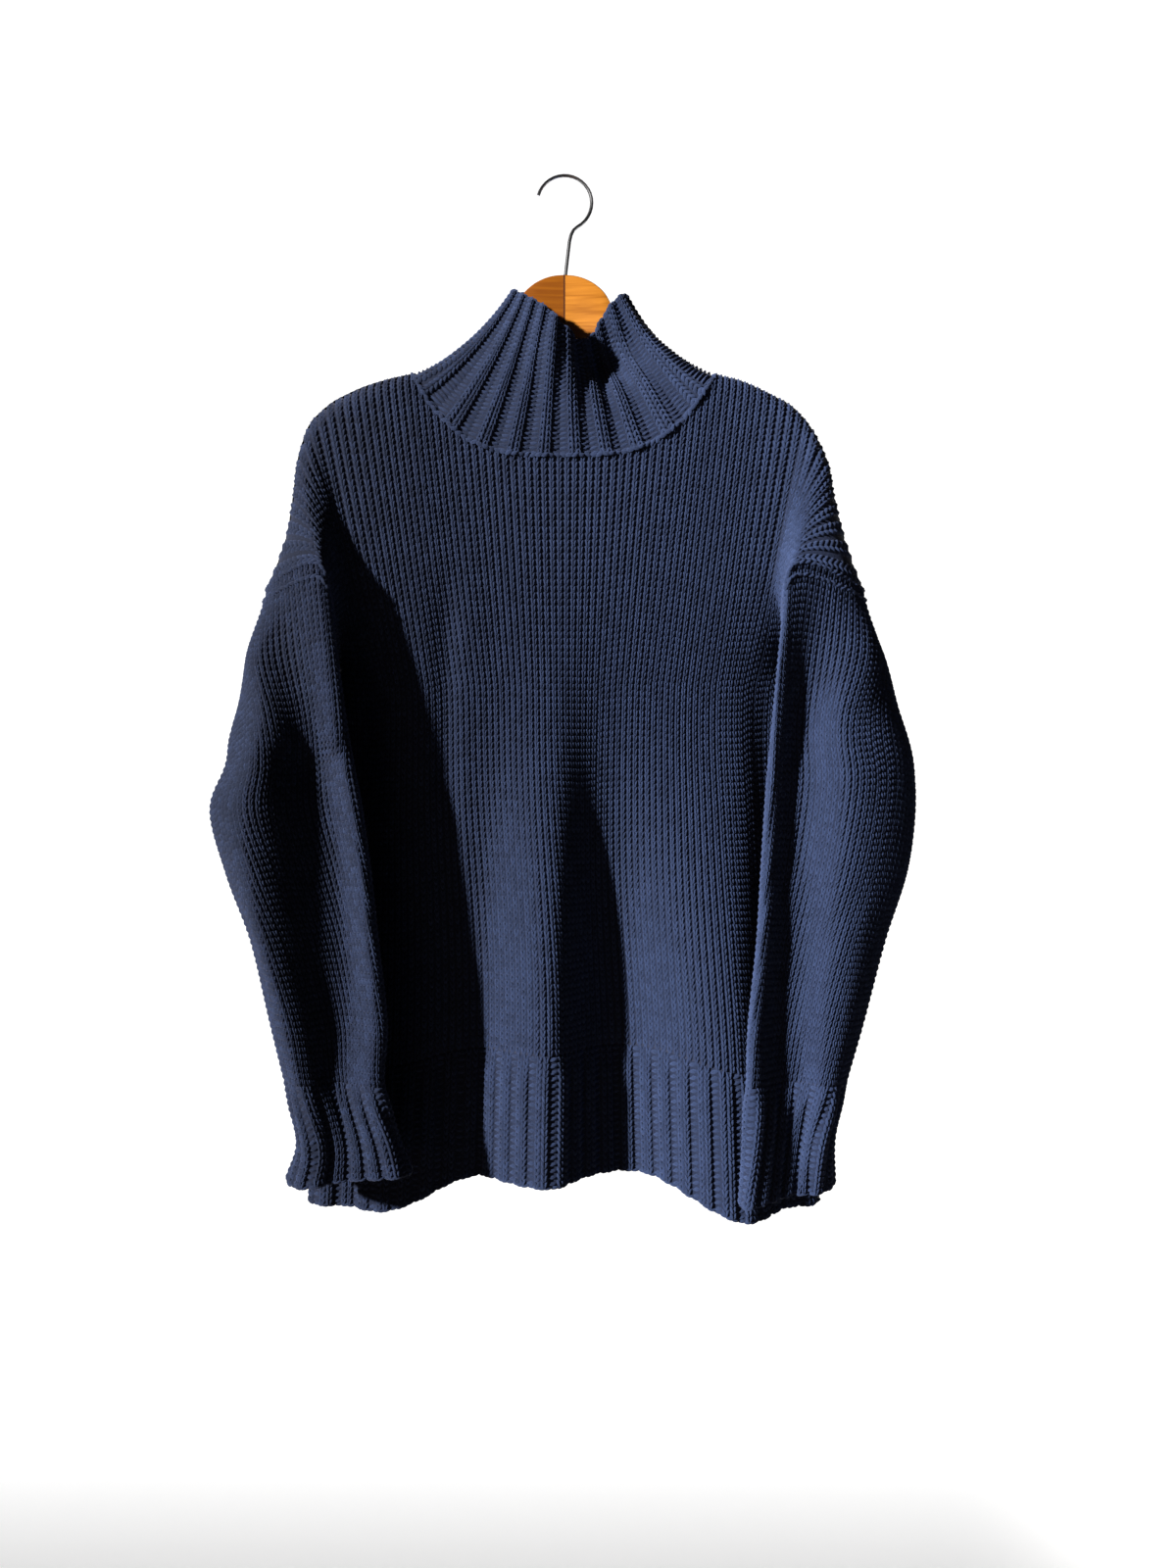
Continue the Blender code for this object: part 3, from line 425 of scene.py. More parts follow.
def stitch_object(name, legs):
    points, faces = [], []
    for values in legs:
        more, round_them = leg(*values)
        faces += [tuple(k + len(points) for k in face) for face in round_them]
        points += more
    mesh = bpy.data.meshes.new(name)
    mesh.from_pydata([tuple(map(float, p)) for p in points], [], faces)
    work = bmesh.new()
    work.from_mesh(mesh)
    for face in work.faces:
        face.smooth = True
        if face.normal.z < 0:
            face.normal_flip()
    work.to_mesh(mesh)
    work.free()
    return bpy.data.objects.new(name, mesh)


# A knit stitch is two slanted legs that dip at their ends, and a purl stitch is one
# bar across. Geometry Nodes set one on each point, turned and sized as the cloth is there.
knit_stitch = stitch_object("knit_stitch", [
    ((-0.07, -0.70), (-0.37, 0.68), 0.20, 0.29, 0.08, -0.50),
    ((0.07, -0.70), (0.37, 0.68), 0.20, 0.29, 0.08, 0.50),
])
purl_stitch = stitch_object("purl_stitch", [((-0.72, -0.10), (0.72, 0.10), 0.36, 0.26, 0.04)])


def setting_tree():
    """Instances of the stitch on the points, turned by two vectors and sized by a third."""
    tree = bpy.data.node_groups.new("set_stitches", "GeometryNodeTree")
    face = tree.interface
    for name, kind in (
        ("Geometry", "Geometry"), ("Stitch", "Object"), ("Yarn", "Material"),
        ("Seed", "Int"), ("Turn", "Float"),
    ):
        face.new_socket(name, in_out="INPUT", socket_type="NodeSocket" + kind)
    face.new_socket("Geometry", in_out="OUTPUT", socket_type="NodeSocketGeometry")
    given = add_node(tree, "NodeGroupInput")
    result = add_node(tree, "NodeGroupOutput")
    stitch = add_node(tree, "GeometryNodeObjectInfo")
    vectors = {}
    for name in ("up", "out", "size"):
        vectors[name] = add_node(
            tree, "GeometryNodeInputNamedAttribute", {"Name": name}, data_type="FLOAT_VECTOR",
        )
    turned = add_node(tree, "FunctionNodeAxesToRotation", primary_axis="Z", secondary_axis="Y")
    least = add_node(tree, "ShaderNodeMath", {1: -1}, operation="MULTIPLY")
    wobble = add_node(tree, "FunctionNodeRandomValue", data_type="FLOAT")
    spin = add_node(tree, "FunctionNodeAxisAngleToRotation")
    both = add_node(tree, "FunctionNodeRotateRotation", rotation_space="LOCAL")
    shade = add_node(tree, "FunctionNodeRandomValue", {2: -0.10, 3: 0.10}, data_type="FLOAT")
    on_points = add_node(tree, "GeometryNodeInstanceOnPoints")
    keep = add_node(
        tree, "GeometryNodeStoreNamedAttribute", {"Name": "tint"}, data_type="FLOAT", domain="INSTANCE",
    )
    real = add_node(tree, "GeometryNodeRealizeInstances")
    paint = add_node(tree, "GeometryNodeSetMaterial")
    link_all(
        tree,
        (given, "Stitch", stitch, "Object"),
        (vectors["out"], "Attribute", turned, "Primary Axis"),
        (vectors["up"], "Attribute", turned, "Secondary Axis"),
        (given, "Turn", least, 0),
        (least, 0, wobble, 2),
        (given, "Turn", wobble, 3),
        (given, "Seed", wobble, "Seed"),
        (wobble, 1, spin, "Angle"),
        (turned, "Rotation", both, "Rotation"),
        (spin, "Rotation", both, "Rotate By"),
        (given, "Geometry", on_points, "Points"),
        (stitch, "Geometry", on_points, "Instance"),
        (both, "Rotation", on_points, "Rotation"),
        (vectors["size"], "Attribute", on_points, "Scale"),
        (on_points, "Instances", keep, "Geometry"),
        (given, "Seed", shade, "Seed"),
        (shade, 1, keep, "Value"),
        (keep, "Geometry", real, "Geometry"),
        (real, "Geometry", paint, "Geometry"),
        (given, "Yarn", paint, "Material"),
        (paint, "Geometry", result, "Geometry"),
    )
    return tree


setting = setting_tree()
sockets = {item.name: item.identifier for item in setting.interface.items_tree if item.in_out == "INPUT"}


def as_piece(name, mesh):
    item = bpy.data.objects.new(name, mesh)
    bpy.context.scene.collection.objects.link(item)
    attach(item, "root")
    return item


def set_stitches(name, stitch, points, up, out, size, slot, seed, turn=0.07):
    """A piece of stitches, one on each point."""
    mesh = bpy.data.meshes.new(name + "_points")
    mesh.from_pydata([tuple(map(float, p)) for p in points], [], [])
    for key, values in (("up", up), ("out", out), ("size", size)):
        mesh.attributes.new(key, "FLOAT_VECTOR", "POINT").data.foreach_set("vector", np.ravel(values))
    source = bpy.data.objects.new(name + "_points", mesh)
    bpy.context.scene.collection.objects.link(source)
    modifier = source.modifiers.new("set", "NODES")
    modifier.node_group = setting
    for key, value in (("Stitch", stitch), ("Yarn", yarn), ("Seed", seed), ("Turn", turn)):
        modifier[sockets[key]] = value
    bpy.context.view_layer.update()
    made = bpy.data.meshes.new_from_object(source.evaluated_get(bpy.context.evaluated_depsgraph_get()))
    bpy.data.objects.remove(source)
    for key in ("up", "out", "size"):
        if key in made.attributes:
            made.attributes.remove(made.attributes[key])
    made.name = name
    return as_piece(name, made)


def closed_mesh(name, points, faces):
    """A smooth mesh whose faces all look outward."""
    mesh = bpy.data.meshes.new(name)
    mesh.from_pydata(points.tolist(), [], faces)
    work = bmesh.new()
    work.from_mesh(mesh)
    bmesh.ops.recalc_face_normals(work, faces=work.faces)
    for face in work.faces:
        face.smooth = True
    work.to_mesh(mesh)
    work.free()
    return mesh


def wall(name, outer, inner, around=False):
    """A closed wall between an outer and an inner grid of points."""
    rows, columns = outer.shape[:2]
    size = rows * columns
    points = np.concatenate([outer.reshape(-1, 3), inner.reshape(-1, 3)])
    first = np.arange(columns if around else columns - 1)
    after = (first + 1) % columns
    faces = []
    for row in range(rows - 1):
        a, b = row * columns + first, row * columns + after
        c, d = b + columns, a + columns
        faces += list(zip(a, b, c, d)) + list(zip(size + d, size + c, size + b, size + a))
    last = (rows - 1) * columns
    faces += list(zip(first, first + size, after + size, after))
    faces += list(zip(last + after, size + last + after, size + last + first, last + first))
    if not around:
        a = np.arange(rows - 1) * columns
        faces += list(zip(a, a + columns, size + a + columns, size + a))
        a = a + columns - 1
        faces += list(zip(a + columns, a, size + a, size + a + columns))
    mesh = closed_mesh(name, points, [tuple(map(int, face)) for face in faces])
    mesh.materials.append(shaded_ground)
    return as_piece(name, mesh)


STITCH_WIDTH = 0.00675
STITCH_HEIGHT = 0.0057
SINK = 0.0010  # the ground of the cloth lies this far inside the solids' outer points
KNIT_LIFT = -0.0006  # how far out the middle of a knit stitch lies from those points
PURL_LIFT = -0.0004
SEAM_PITCH = 0.0055  # from bar to bar along a seam
SHOULDER_BAR = 0.0075  # height of the bars of the shoulder seams
SIDE_BAR = 0.010  # and of the side seams


def lengths_down(grid):
    step = np.linalg.norm(np.diff(grid, axis=0), axis=2)
    return np.concatenate([np.zeros((1, grid.shape[1])), np.cumsum(step, axis=0)])


def stitches_on(grid, normals, columns, around, from_bottom=True, lift=KNIT_LIFT, height=STITCH_HEIGHT):
    """Places, directions and sizes of the stitches on some columns of a dense grid."""
    lengths = lengths_down(grid)
    count = grid.shape[1]
    found = {"points": [], "up": [], "out": [], "size": []}
    for column in columns:
        whole = lengths[-1, column]
        rows = int(whole / height)
        if rows < 1:
            continue
        # The count is rounded, so whole stitches fill the column
        pitch = whole / round(whole / height)
        at = (np.arange(round(whole / height)) + 0.5) * pitch
        if from_bottom:
            at = whole - at
        if around:
            left, right = (column - 1) % count, (column + 1) % count
        else:
            left, right = max(column - 1, 0), min(column + 1, count - 1)

        def read(values):
            return np.stack([np.interp(at, lengths[:, column], values[:, k]) for k in range(3)], -1)

        place = read(grid[:, column])
        out = unit(read(normals[:, column]))
        up = -unit(read(np.gradient(grid[:, column], axis=0)))
        side = read(grid[:, right]) - read(grid[:, left])
        across = unit(np.cross(up, out))
        gap = 1 if (left == column or right == column) else 2
        width = np.abs(np.sum(side * across, axis=1)) / gap
        found["points"].append(place + out * lift)
        found["up"].append(up)
        found["out"].append(out)
        found["size"].append(np.stack([width, np.full(len(at), pitch), np.full(len(at), STITCH_WIDTH)], -1))
    return {key: np.concatenate(values) for key, values in found.items()}


def bars_along(line, normals, spacing, around, height=STITCH_HEIGHT, lift=0.0):
    """Places, directions and sizes of bars that lie one after the other along a line."""
    if around:
        line, normals = np.concatenate([line, line[:1]]), np.concatenate([normals, normals[:1]])
    lengths = np.concatenate([[0], np.cumsum(np.linalg.norm(np.diff(line, axis=0), axis=1))])
    count = round(lengths[-1] / spacing)
    at = (np.arange(count) + 0.5) * lengths[-1] / count

    def read(values):
        return np.stack([np.interp(at, lengths, values[:, k]) for k in range(3)], -1)

    out, way = unit(read(normals)), unit(read(np.gradient(line, axis=0)))
    size = np.tile([spacing, height, STITCH_WIDTH], (count, 1))
    return {"points": read(line) + out * lift, "up": np.cross(out, way), "out": out, "size": size}


columns_between = np.arange(-SIDE_WALE + 0.5, SIDE_WALE, 1.0)
panel_steps = np.concatenate([np.linspace(0, 0.995, 150), np.linspace(1, 1 + RIB_START, 70)])
panel_cut = {"front": ((0.57, 0.61), 0.30), "back": ((0.57, 0.64), 0.31)}
for face, way in (("front", 1), ("back", -1)):
    dense = panel_points(face, columns_between, panel_steps)
    normals = outward(dense, way)
    stitches = []
    half = len(columns_between) // 2
    for word, which in (("left", range(half)), ("right", range(half, 2 * half))):
        set_on = stitches_on(dense, normals, which, False)
        stitches.append(set_stitches(
            f"{face}_stitches_{word}", knit_stitch, **set_on, slot="yarn", seed=len(word) + half * way,
        ))
    edges = np.arange(-SIDE_WALE, SIDE_WALE + 1, 1.5)
    shell_steps = np.concatenate([np.linspace(0, 0.985, 50), np.linspace(1, 1 + RIB_START, 25)])
    shell = panel_points(face, edges, shell_steps)
    away = outward(shell, way)
    piece = wall(face, shell - away * SINK, shell - away * WALL)
    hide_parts(face)
    if face == "back":
        # The seams at the shoulders and down the sides lie half on each panel
        for side, word in ((-1, "left"), (1, "right")):
            line = side * np.linspace(NECK_WALE, SIDE_WALE, 60)
            tops = {key: panel_points(key, line, np.linspace(0, 0.02, 4)) for key in ("front", "back")}
            slopes = outward(tops["front"], 1)[0] + outward(tops["back"], -1)[0]
            ridge = (tops["front"][0] + tops["back"][0]) / 2
            set_on = bars_along(ridge, unit(slopes), SEAM_PITCH, False, height=SHOULDER_BAR, lift=PURL_LIFT)
            stitches.append(set_stitches(
                f"shoulder_seam_{word}", purl_stitch, **set_on, slot="yarn", seed=21 + side,
            ))
            edge = np.array([float(side * SIDE_WALE)])
            down = np.linspace(UNDERARM - 0.01, 1 + RIB_START, 90)
            line = (panel_points("front", edge, down)[:, 0] + panel_points("back", edge, down)[:, 0]) / 2
            aside = np.tile([side, 0.0, 0.0], (len(line), 1))
            set_on = bars_along(line, aside, SEAM_PITCH, False, height=SIDE_BAR, lift=PURL_LIFT)
            stitches.append(set_stitches(
                f"side_seam_{word}", purl_stitch, **set_on, slot="yarn", seed=24 + side,
            ))
    cut, area = panel_cut[face]


# Ribs of the hem
# The lowest part of each panel, of the same wool and knitted in one with it: two wales
# stand up as knit stitches and one lies back as purl bars, down to the edge.
RIB_HEIGHT = 0.0028  # how far a rib stands up from the cloth
RIB_RAISED = 2  # stitch columns that stand up in each rib
RIB_WALES = 3  # stitch columns to a rib of the hem and the cuffs, where one is sunk
EDGE_PITCH = 0.006  # from bar to bar along the edge of the hem or a cuff
EDGE_LIFT = -0.0008


def rib_wave(wale, wales=RIB_WALES):
    """How far the cloth stands up over a rib, whose middle lies half a wale past its first."""
    rise = np.cos((wale - 0.5) * 2 * math.pi / wales) - math.cos(2 * math.pi / wales)
    return RIB_HEIGHT * (0.5 + 0.5 * np.tanh(2.2 * rise))


def rib_stitches(
    name, outer, turned, wales, around, seed,
    raised=range(RIB_RAISED), rib=RIB_WALES, heights=(STITCH_HEIGHT, STITCH_HEIGHT), widest=1.0,
):
    """Knit stitches on the raised wales of a rib and purl bars on the sunk ones."""
    sets = []
    kinds = (("knit", knit_stitch, KNIT_LIFT), ("purl", purl_stitch, PURL_LIFT))
    for (kind, stitch, lift), height in zip(kinds, heights):
        # The grid has two columns to a wale
        which = [2 * k for k in wales if (k % rib in raised) == (kind == "knit")]
        set_on = stitches_on(outer, turned, which, around, from_bottom=False, lift=lift, height=height)
        set_on["size"][:, 0] = np.minimum(set_on["size"][:, 0] * 2, widest)
        sets.append(set_stitches(f"{name}_{kind}", stitch, **set_on, slot="rib", seed=seed))
    return sets


for face, way in (("front", 1), ("back", -1)):
    wales = np.arange(-SIDE_WALE, SIDE_WALE + 0.1, 0.5)
    steps = np.linspace(1 + RIB_START, 2, 26)
    ground_grid = panel_points(face, wales, steps)
    away = outward(ground_grid, way)
    growth = ease(steps, steps[0] - 0.02, steps[0] + 0.06)
    raised = rib_wave(wales + SIDE_WALE) * growth[:, None]
    outer = ground_grid + away * raised[..., None]
    piece = wall(f"hem_{face}", outer - away * SINK, ground_grid - away * WALL)
    turned = outward(outer, way)
    stitches = rib_stitches(f"hem_{face}", outer, turned, range(1, 2 * SIDE_WALE), False, way * 7)
    edge = bars_along(outer[-1], turned[-1], EDGE_PITCH, False, lift=EDGE_LIFT)
    stitches.append(set_stitches(f"hem_{face}_edge", purl_stitch, **edge, slot="rib", seed=way * 9))
    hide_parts(f"hem_{face}")


# Sleeves and cuffs
# Two tubes of the same wool and stitch, sewn round the dropped armholes, which hang
# beside the body with one deep fold in front. Each ends in a rib knitted in one with it.
FOLD_ROUNDING = 0.010  # radius that the thick cloth gives a fold in a sleeve
CUFF_WALES = 48  # all round a cuff
SLEEVE_WALES = 66  # stitch columns round a sleeve
SLEEVE_WALL = WALL * 0.8  # how deep the inside of the sleeves and cuffs lies
# The sleeves' sections: how far across the outer side, the outer crest, the valley,
# the inner ridge and the inner back lie, and how far forward each of them is
LEFT_SLEEVE = table(
    "height outer crest valley ridge under crest_y valley_y ridge_y under_y back_y",
    (-0.495, 0.2880, 0.250, 0.223, 0.182, 0.206, -0.092, -0.078, -0.096, -0.046, 0.000),
    (-0.540, 0.2940, 0.251, 0.217, 0.175, 0.206, -0.102, -0.068, -0.096, -0.046, -0.014),
    (-0.580, 0.3055, 0.254, 0.208, 0.168, 0.206, -0.108, -0.071, -0.096, -0.044, -0.022),
    (-0.635, 0.2905, 0.252, 0.201, 0.161, 0.206, -0.108, -0.071, -0.096, -0.044, -0.028),
    (-0.693, 0.2695, 0.244, 0.195, 0.155, 0.204, -0.104, -0.071, -0.096, -0.044, -0.030),
    (-0.761, 0.2535, 0.226, 0.193, 0.148, 0.200, -0.098, -0.071, -0.094, -0.046, -0.032),
    (-0.812, 0.2415, 0.216, 0.195, 0.150, 0.194, -0.092, -0.074, -0.094, -0.048, -0.034),
    (-0.863, 0.2280, 0.212, 0.191, 0.140, 0.188, -0.090, -0.078, -0.092, -0.048, -0.036),
    (-0.894, 0.2380, 0.214, 0.189, 0.130, 0.184, -0.090, -0.080, -0.090, -0.048, -0.038),
)
RIGHT_SLEEVE = table(
    "height outer crest valley ridge under crest_y valley_y ridge_y under_y back_y",
    (-0.495, 0.2965, 0.240, 0.206, 0.176, 0.206, -0.088, -0.068, -0.092, -0.046, 0.000),
    (-0.557, 0.3070, 0.243, 0.202, 0.171, 0.208, -0.096, -0.071, -0.092, -0.044, -0.014),
    (-0.625, 0.3000, 0.240, 0.198, 0.167, 0.208, -0.098, -0.071, -0.092, -0.042, -0.026),
    (-0.693, 0.2790, 0.236, 0.195, 0.163, 0.206, -0.096, -0.071, -0.094, -0.042, -0.030),
    (-0.761, 0.2610, 0.228, 0.191, 0.156, 0.204, -0.094, -0.071, -0.096, -0.046, -0.030),
    (-0.812, 0.2462, 0.222, 0.194, 0.154, 0.198, -0.092, -0.071, -0.098, -0.050, -0.034),
    (-0.863, 0.2330, 0.216, 0.198, 0.153, 0.194, -0.088, -0.071, -0.099, -0.054, -0.038),
    (-0.909, 0.2345, 0.214, 0.198, 0.150, 0.192, -0.076, -0.071, -0.098, -0.056, -0.036),
)
CUFF_HEIGHT = -0.812  # of the row of the sleeves' tables where the cuffs start
CUFF_TILT = {-1: 0.13, 1: 0.08}  # the slant of the cuffs, higher on the outer side
SLEEVE_FULLNESS = 0.013  # by which a sleeve stands out half way down from the armhole


def shares_length(points):
    return np.linalg.norm(np.diff(points, axis=0), axis=1).sum()


def sleeve_section(rows, side, row):
    """A closed line round a sleeve at one row of its table, from the underarm forward."""
    r = {name: column[row] for name, column in rows.items()}
    width = r["outer"] - r["under"]
    depth = r["back_y"] - r["crest_y"]
    corners = np.array([
        (r["under"] + 0.32 * width, 0.3 * r["under_y"] + 0.7 * r["back_y"]),
        (r["under"], r["under_y"]),
        (r["ridge"] + 0.010, r["under_y"] - 0.014),
        (r["ridge"] + 0.003, r["ridge_y"] - 0.002),
        (r["valley"], r["valley_y"]),
        (r["crest"], r["crest_y"] - 0.001),
        (r["outer"] - 0.14 * width, r["crest_y"] + 0.25 * depth),
        (r["outer"] + 0.001, r["crest_y"] + 0.62 * depth),
        (r["outer"] - 0.20 * width, r["back_y"] - 0.001),
        (r["under"] + 0.58 * width, r["back_y"] + 0.001),
    ])
    count = len(corners)
    places = np.arange(-2, count + 3, dtype=float)
    line = smooth(np.linspace(0, count, 361), places, corners[np.arange(-2, count + 3) % count])
    line = np.column_stack([side * line[:, 0], line[:, 1], np.full(len(line), r["height"])])
    # Knitted cloth is too thick for a sharp fold, so the corners are rounded
    dots = along(line, np.arange(240) / 240)
    reach = np.arange(-12, 13)
    weight = np.exp(-((reach * shares_length(line) / 240 / FOLD_ROUNDING) ** 2))
    soft = sum(w * np.roll(dots, -k, axis=0) for k, w in zip(reach, weight)) / weight.sum()
    return np.concatenate([soft, soft[:1]])


def sleeve_rings(rows, side, armhole, shares):
    """The armhole and then the section at each row of the table."""
    rings = [along(armhole, shares)]
    rings += [along(sleeve_section(rows, side, row), shares) for row in range(len(rows["height"]))]
    return np.stack(rings)


def cuff_level(rows):
    """The number of the ring where the cuff starts."""
    return int(np.argmin(np.abs(rows["height"] - CUFF_HEIGHT))) + 1


def sleeve_points(rows, side, armhole, shares, levels):
    """A grid of points: level 0 is the armhole, 1 the first row of the table, and so on."""
    rings = sleeve_rings(rows, side, armhole, shares)
    places = np.arange(len(rings), dtype=float)
    below = smooth(np.array([0.5]), places, rings.reshape(len(rings), -1)).reshape(-1, 3)
    below[:, 0] += side * SLEEVE_FULLNESS * ease(side * below[:, 0], 0.21, 0.27)
    places = np.insert(places, 1, 0.5)
    rings = np.insert(rings, 1, below, axis=0)
    grid = smooth(np.asarray(levels, float), places, rings.reshape(len(rings), -1))
    grid = grid.reshape(len(levels), -1, 3)
    start = cuff_level(rows)
    slant = CUFF_TILT[side] * np.clip((np.asarray(levels) - start) / (len(rows["height"]) - start), 0, 1)
    grid[:, :, 2] += slant[:, None] * (grid[:, :, 0] - grid[:, :, 0].mean(axis=1, keepdims=True))
    return grid


def armhole_loop(points, under, column):
    """From the underarm up the front edge, over the shoulder and down the back edge."""
    return np.concatenate([points["front"][under::-1, column], points["back"][1:under + 1, column]])


join = {
    face: panel_points(face, np.array([-float(SIDE_WALE), float(SIDE_WALE)]), np.array([
        0, 0.02, 0.06, 0.11, 0.17, 0.23, 0.29, 0.35, 0.41, 0.47, 0.54, 0.61, 0.68, 0.74, UNDERARM,
    ])) for face in ("front", "back")
}
under = join["front"].shape[0] - 1
for column in (0, 1):
    middle = (join["front"][under, column] + join["back"][under, column]) / 2
    join["front"][under, column] = join["back"][under, column] = middle
for side, column, word, rows in ((-1, 0, "left", LEFT_SLEEVE), (1, 1, "right", RIGHT_SLEEVE)):
    loop = armhole_loop(join, under, column)
    start, end = cuff_level(rows), len(rows["height"])
    shares = np.arange(SLEEVE_WALES) / SLEEVE_WALES
    dense = sleeve_points(rows, side, loop, shares, np.linspace(0, start, 160))
    normals = outward(dense, side, around=True)
    set_on = stitches_on(dense, normals, range(SLEEVE_WALES), True)
    stitches = [set_stitches(f"sleeve_{word}_stitches", knit_stitch, **set_on, slot="yarn", seed=30 + side)]
    for number, row in enumerate((0, 2)):
        seam = bars_along(dense[row], normals[row], SEAM_PITCH, True, height=0.0045, lift=0.0012)
        stitches.append(set_stitches(
            f"armhole_{word}_{number + 1}", purl_stitch, **seam, slot="yarn", seed=35 + side, turn=0.5,
        ))
    shell = sleeve_points(rows, side, loop, np.arange(80) / 80, np.linspace(0, start, 60))
    away = outward(shell, side, around=True)
    piece = wall(f"sleeve_{word}", shell - away * SINK, shell - away * SLEEVE_WALL, around=True)
    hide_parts(f"sleeve_{word}")

    fine = np.arange(CUFF_WALES * 2) / (CUFF_WALES * 2)
    steps = np.linspace(start, end, 20)
    base = sleeve_points(rows, side, loop, fine, steps)
    away = outward(base, side, around=True)
    growth = ease(steps, start - 0.1, start + 0.5)
    outer = base + away * (rib_wave(fine * CUFF_WALES) * growth[:, None])[..., None]
    piece = wall(f"cuff_{word}", outer - away * SINK, base - away * SLEEVE_WALL, around=True)
    turned = outward(outer, side, around=True)
    sets = rib_stitches(f"cuff_{word}", outer, turned, range(CUFF_WALES), True, 40 + side)
    edge = bars_along(outer[-1], turned[-1], EDGE_PITCH, True, lift=EDGE_LIFT)
    sets.append(set_stitches(f"cuff_{word}_edge", purl_stitch, **edge, slot="rib", seed=45 + side))
    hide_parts(f"cuff_{word}")


# Collar
# A standing turtleneck of the same wool, knitted up from the neckline in 20 ribs of two
# wales up and two back. It narrows to its open top edge and is dented beside the middle.
COLLAR_RIB_WALES = 4  # stitch columns to a rib, where two are sunk
COLLAR_WALES = 80  # all round the collar
COLLAR_HEIGHTS = (0.0052, 0.0042)  # of its knit stitches and its purl bars
COLLAR_WIDEST = 0.012  # where the ribs fan out at the neck points
# The top edge of the collar, from the left round the front to the right and back
COLLAR_TOP = table(
    "share across forward height",
    (0.00, -0.0471, -0.006, -0.1065),
    (0.09, -0.0320, -0.029, -0.1220),
    (0.18, -0.0150, -0.042, -0.1380),
    (0.25, -0.0010, -0.047, -0.1540),
    (0.30, 0.0129, -0.040, -0.1624),
    (0.35, 0.0260, -0.027, -0.1520),
    (0.40, 0.0365, -0.021, -0.1340),
    (0.45, 0.0475, -0.015, -0.1180),
    (0.50, 0.0540, -0.006, -0.1110),
    (0.62, 0.0400, 0.020, -0.1120),
    (0.75, 0.0050, 0.027, -0.1150),
    (0.88, -0.0320, 0.020, -0.1110),
    (1.00, -0.0471, -0.006, -0.1065),
)


def collar_points(base, shares, ups):
    """Points of the collar from its base ring, up 0, to its top edge, up 1."""
    top = np.stack([
        smooth(shares, COLLAR_TOP["share"], COLLAR_TOP[k]) for k in ("across", "forward", "height")
    ], -1)
    middle = (base + top) / 2
    flare = (np.abs(base[:, 0]) / SHOULDER["left"][0]) ** 2
    front = ease(-base[:, 1], 0.02, 0.05)
    middle[:, 0] *= 1 - np.where(base[:, 0] < 0, 0.13, 0.09) * flare
    middle[:, 1] -= 0.008 * front
    middle[:, 2] -= 0.018 * flare
    grid = []
    for up in ups:
        keep = 1 - up
        points = base * keep * keep + middle * 2 * up * keep + top * up * up
        beside = points[:, 0] - 0.036
        flank = np.where(beside < 0, 0.021, 0.032)
        dent = np.exp(-(beside / flank) ** 2 - ((points[:, 2] + 0.179) / 0.029) ** 2)
        ridge = np.exp(-((points[:, 0] + 0.012) / 0.016) ** 2 - ((points[:, 2] + 0.172) / 0.034) ** 2)
        points[:, 1] += (0.023 * dent - 0.008 * ridge) * front * np.sin(math.pi * min(up * 1.2, 1) / 2)
        grid.append(points)
    return np.stack(grid)


neck_rings = []
for face, way in (("front", 1), ("back", -1)):
    order = way * np.arange(-NECK_WALE, NECK_WALE, 0.5)
    neck_rings.append(panel_points(face, order, np.array([0.0]))[0])
base = np.concatenate(neck_rings)
collar_shares = np.arange(len(base)) / len(base)
ground_grid = collar_points(base, collar_shares, np.linspace(0, 1, 40))
away = outward(ground_grid, -1, around=True)
raised = rib_wave(np.arange(len(base)) / 2 - 1, COLLAR_RIB_WALES)
outer = ground_grid + away * raised[:, None]
piece = wall("collar", outer - away * SINK, ground_grid - away * WALL, around=True)
turned = outward(outer, -1, around=True)
sets = rib_stitches(
    "collar", outer, turned, range(COLLAR_WALES), True, 51,
    raised=(1, 2), rib=COLLAR_RIB_WALES, heights=COLLAR_HEIGHTS, widest=COLLAR_WIDEST,
)
for name, row, lift, turn in (("collar_seam", 0, 0.0010, 0.6), ("collar_edge", -1, EDGE_LIFT, 0.2)):
    edge = bars_along(outer[row], turned[row], SEAM_PITCH, True, lift=lift)
    sets.append(set_stitches(name, purl_stitch, **edge, slot="rib", seed=57, turn=turn))
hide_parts("collar")


# Hanger
# Two bowed halves of varnished beech with rounded edges, which meet at a fine joint
# line under the hook. The left half's wood is painted darker, as painted shade.
NECK_REACH = 0.13  # the cloth lies on the arms beyond this
CLOTH_REST = 0.0049  # from the outside of the cloth down to the wood
CORNER_ROUNDING = 0.45  # of the half thickness
# The arms: top and bottom line and half thickness
HANGER = table(
    "across top bottom half",
    (0.0, -0.0910, -0.1560, 0.0065),
    (0.010, -0.0921, -0.1565, 0.0065),
    (0.020, -0.0955, -0.1580, 0.0065),
    (0.030, -0.1018, -0.1610, 0.0065),
    (0.038, -0.1104, -0.1645, 0.0065),
    (0.044, -0.1220, -0.1680, 0.0065),
    (0.050, -0.1365, -0.1715, 0.0064),
    (0.060, -0.1520, -0.1780, 0.0062),
    (0.080, -0.1700, -0.1930, 0.0060),
    (0.110, -0.1900, -0.2120, 0.0058),
    (0.138, -0.1995, -0.2230, 0.0056),
    (0.165, -0.2010, -0.2310, 0.0056),
    (0.186, -0.2090, -0.2390, 0.0056),
    (0.198, -0.2230, -0.2440, 0.0050),
    (0.204, -0.2310, -0.2460, 0.0040),
)


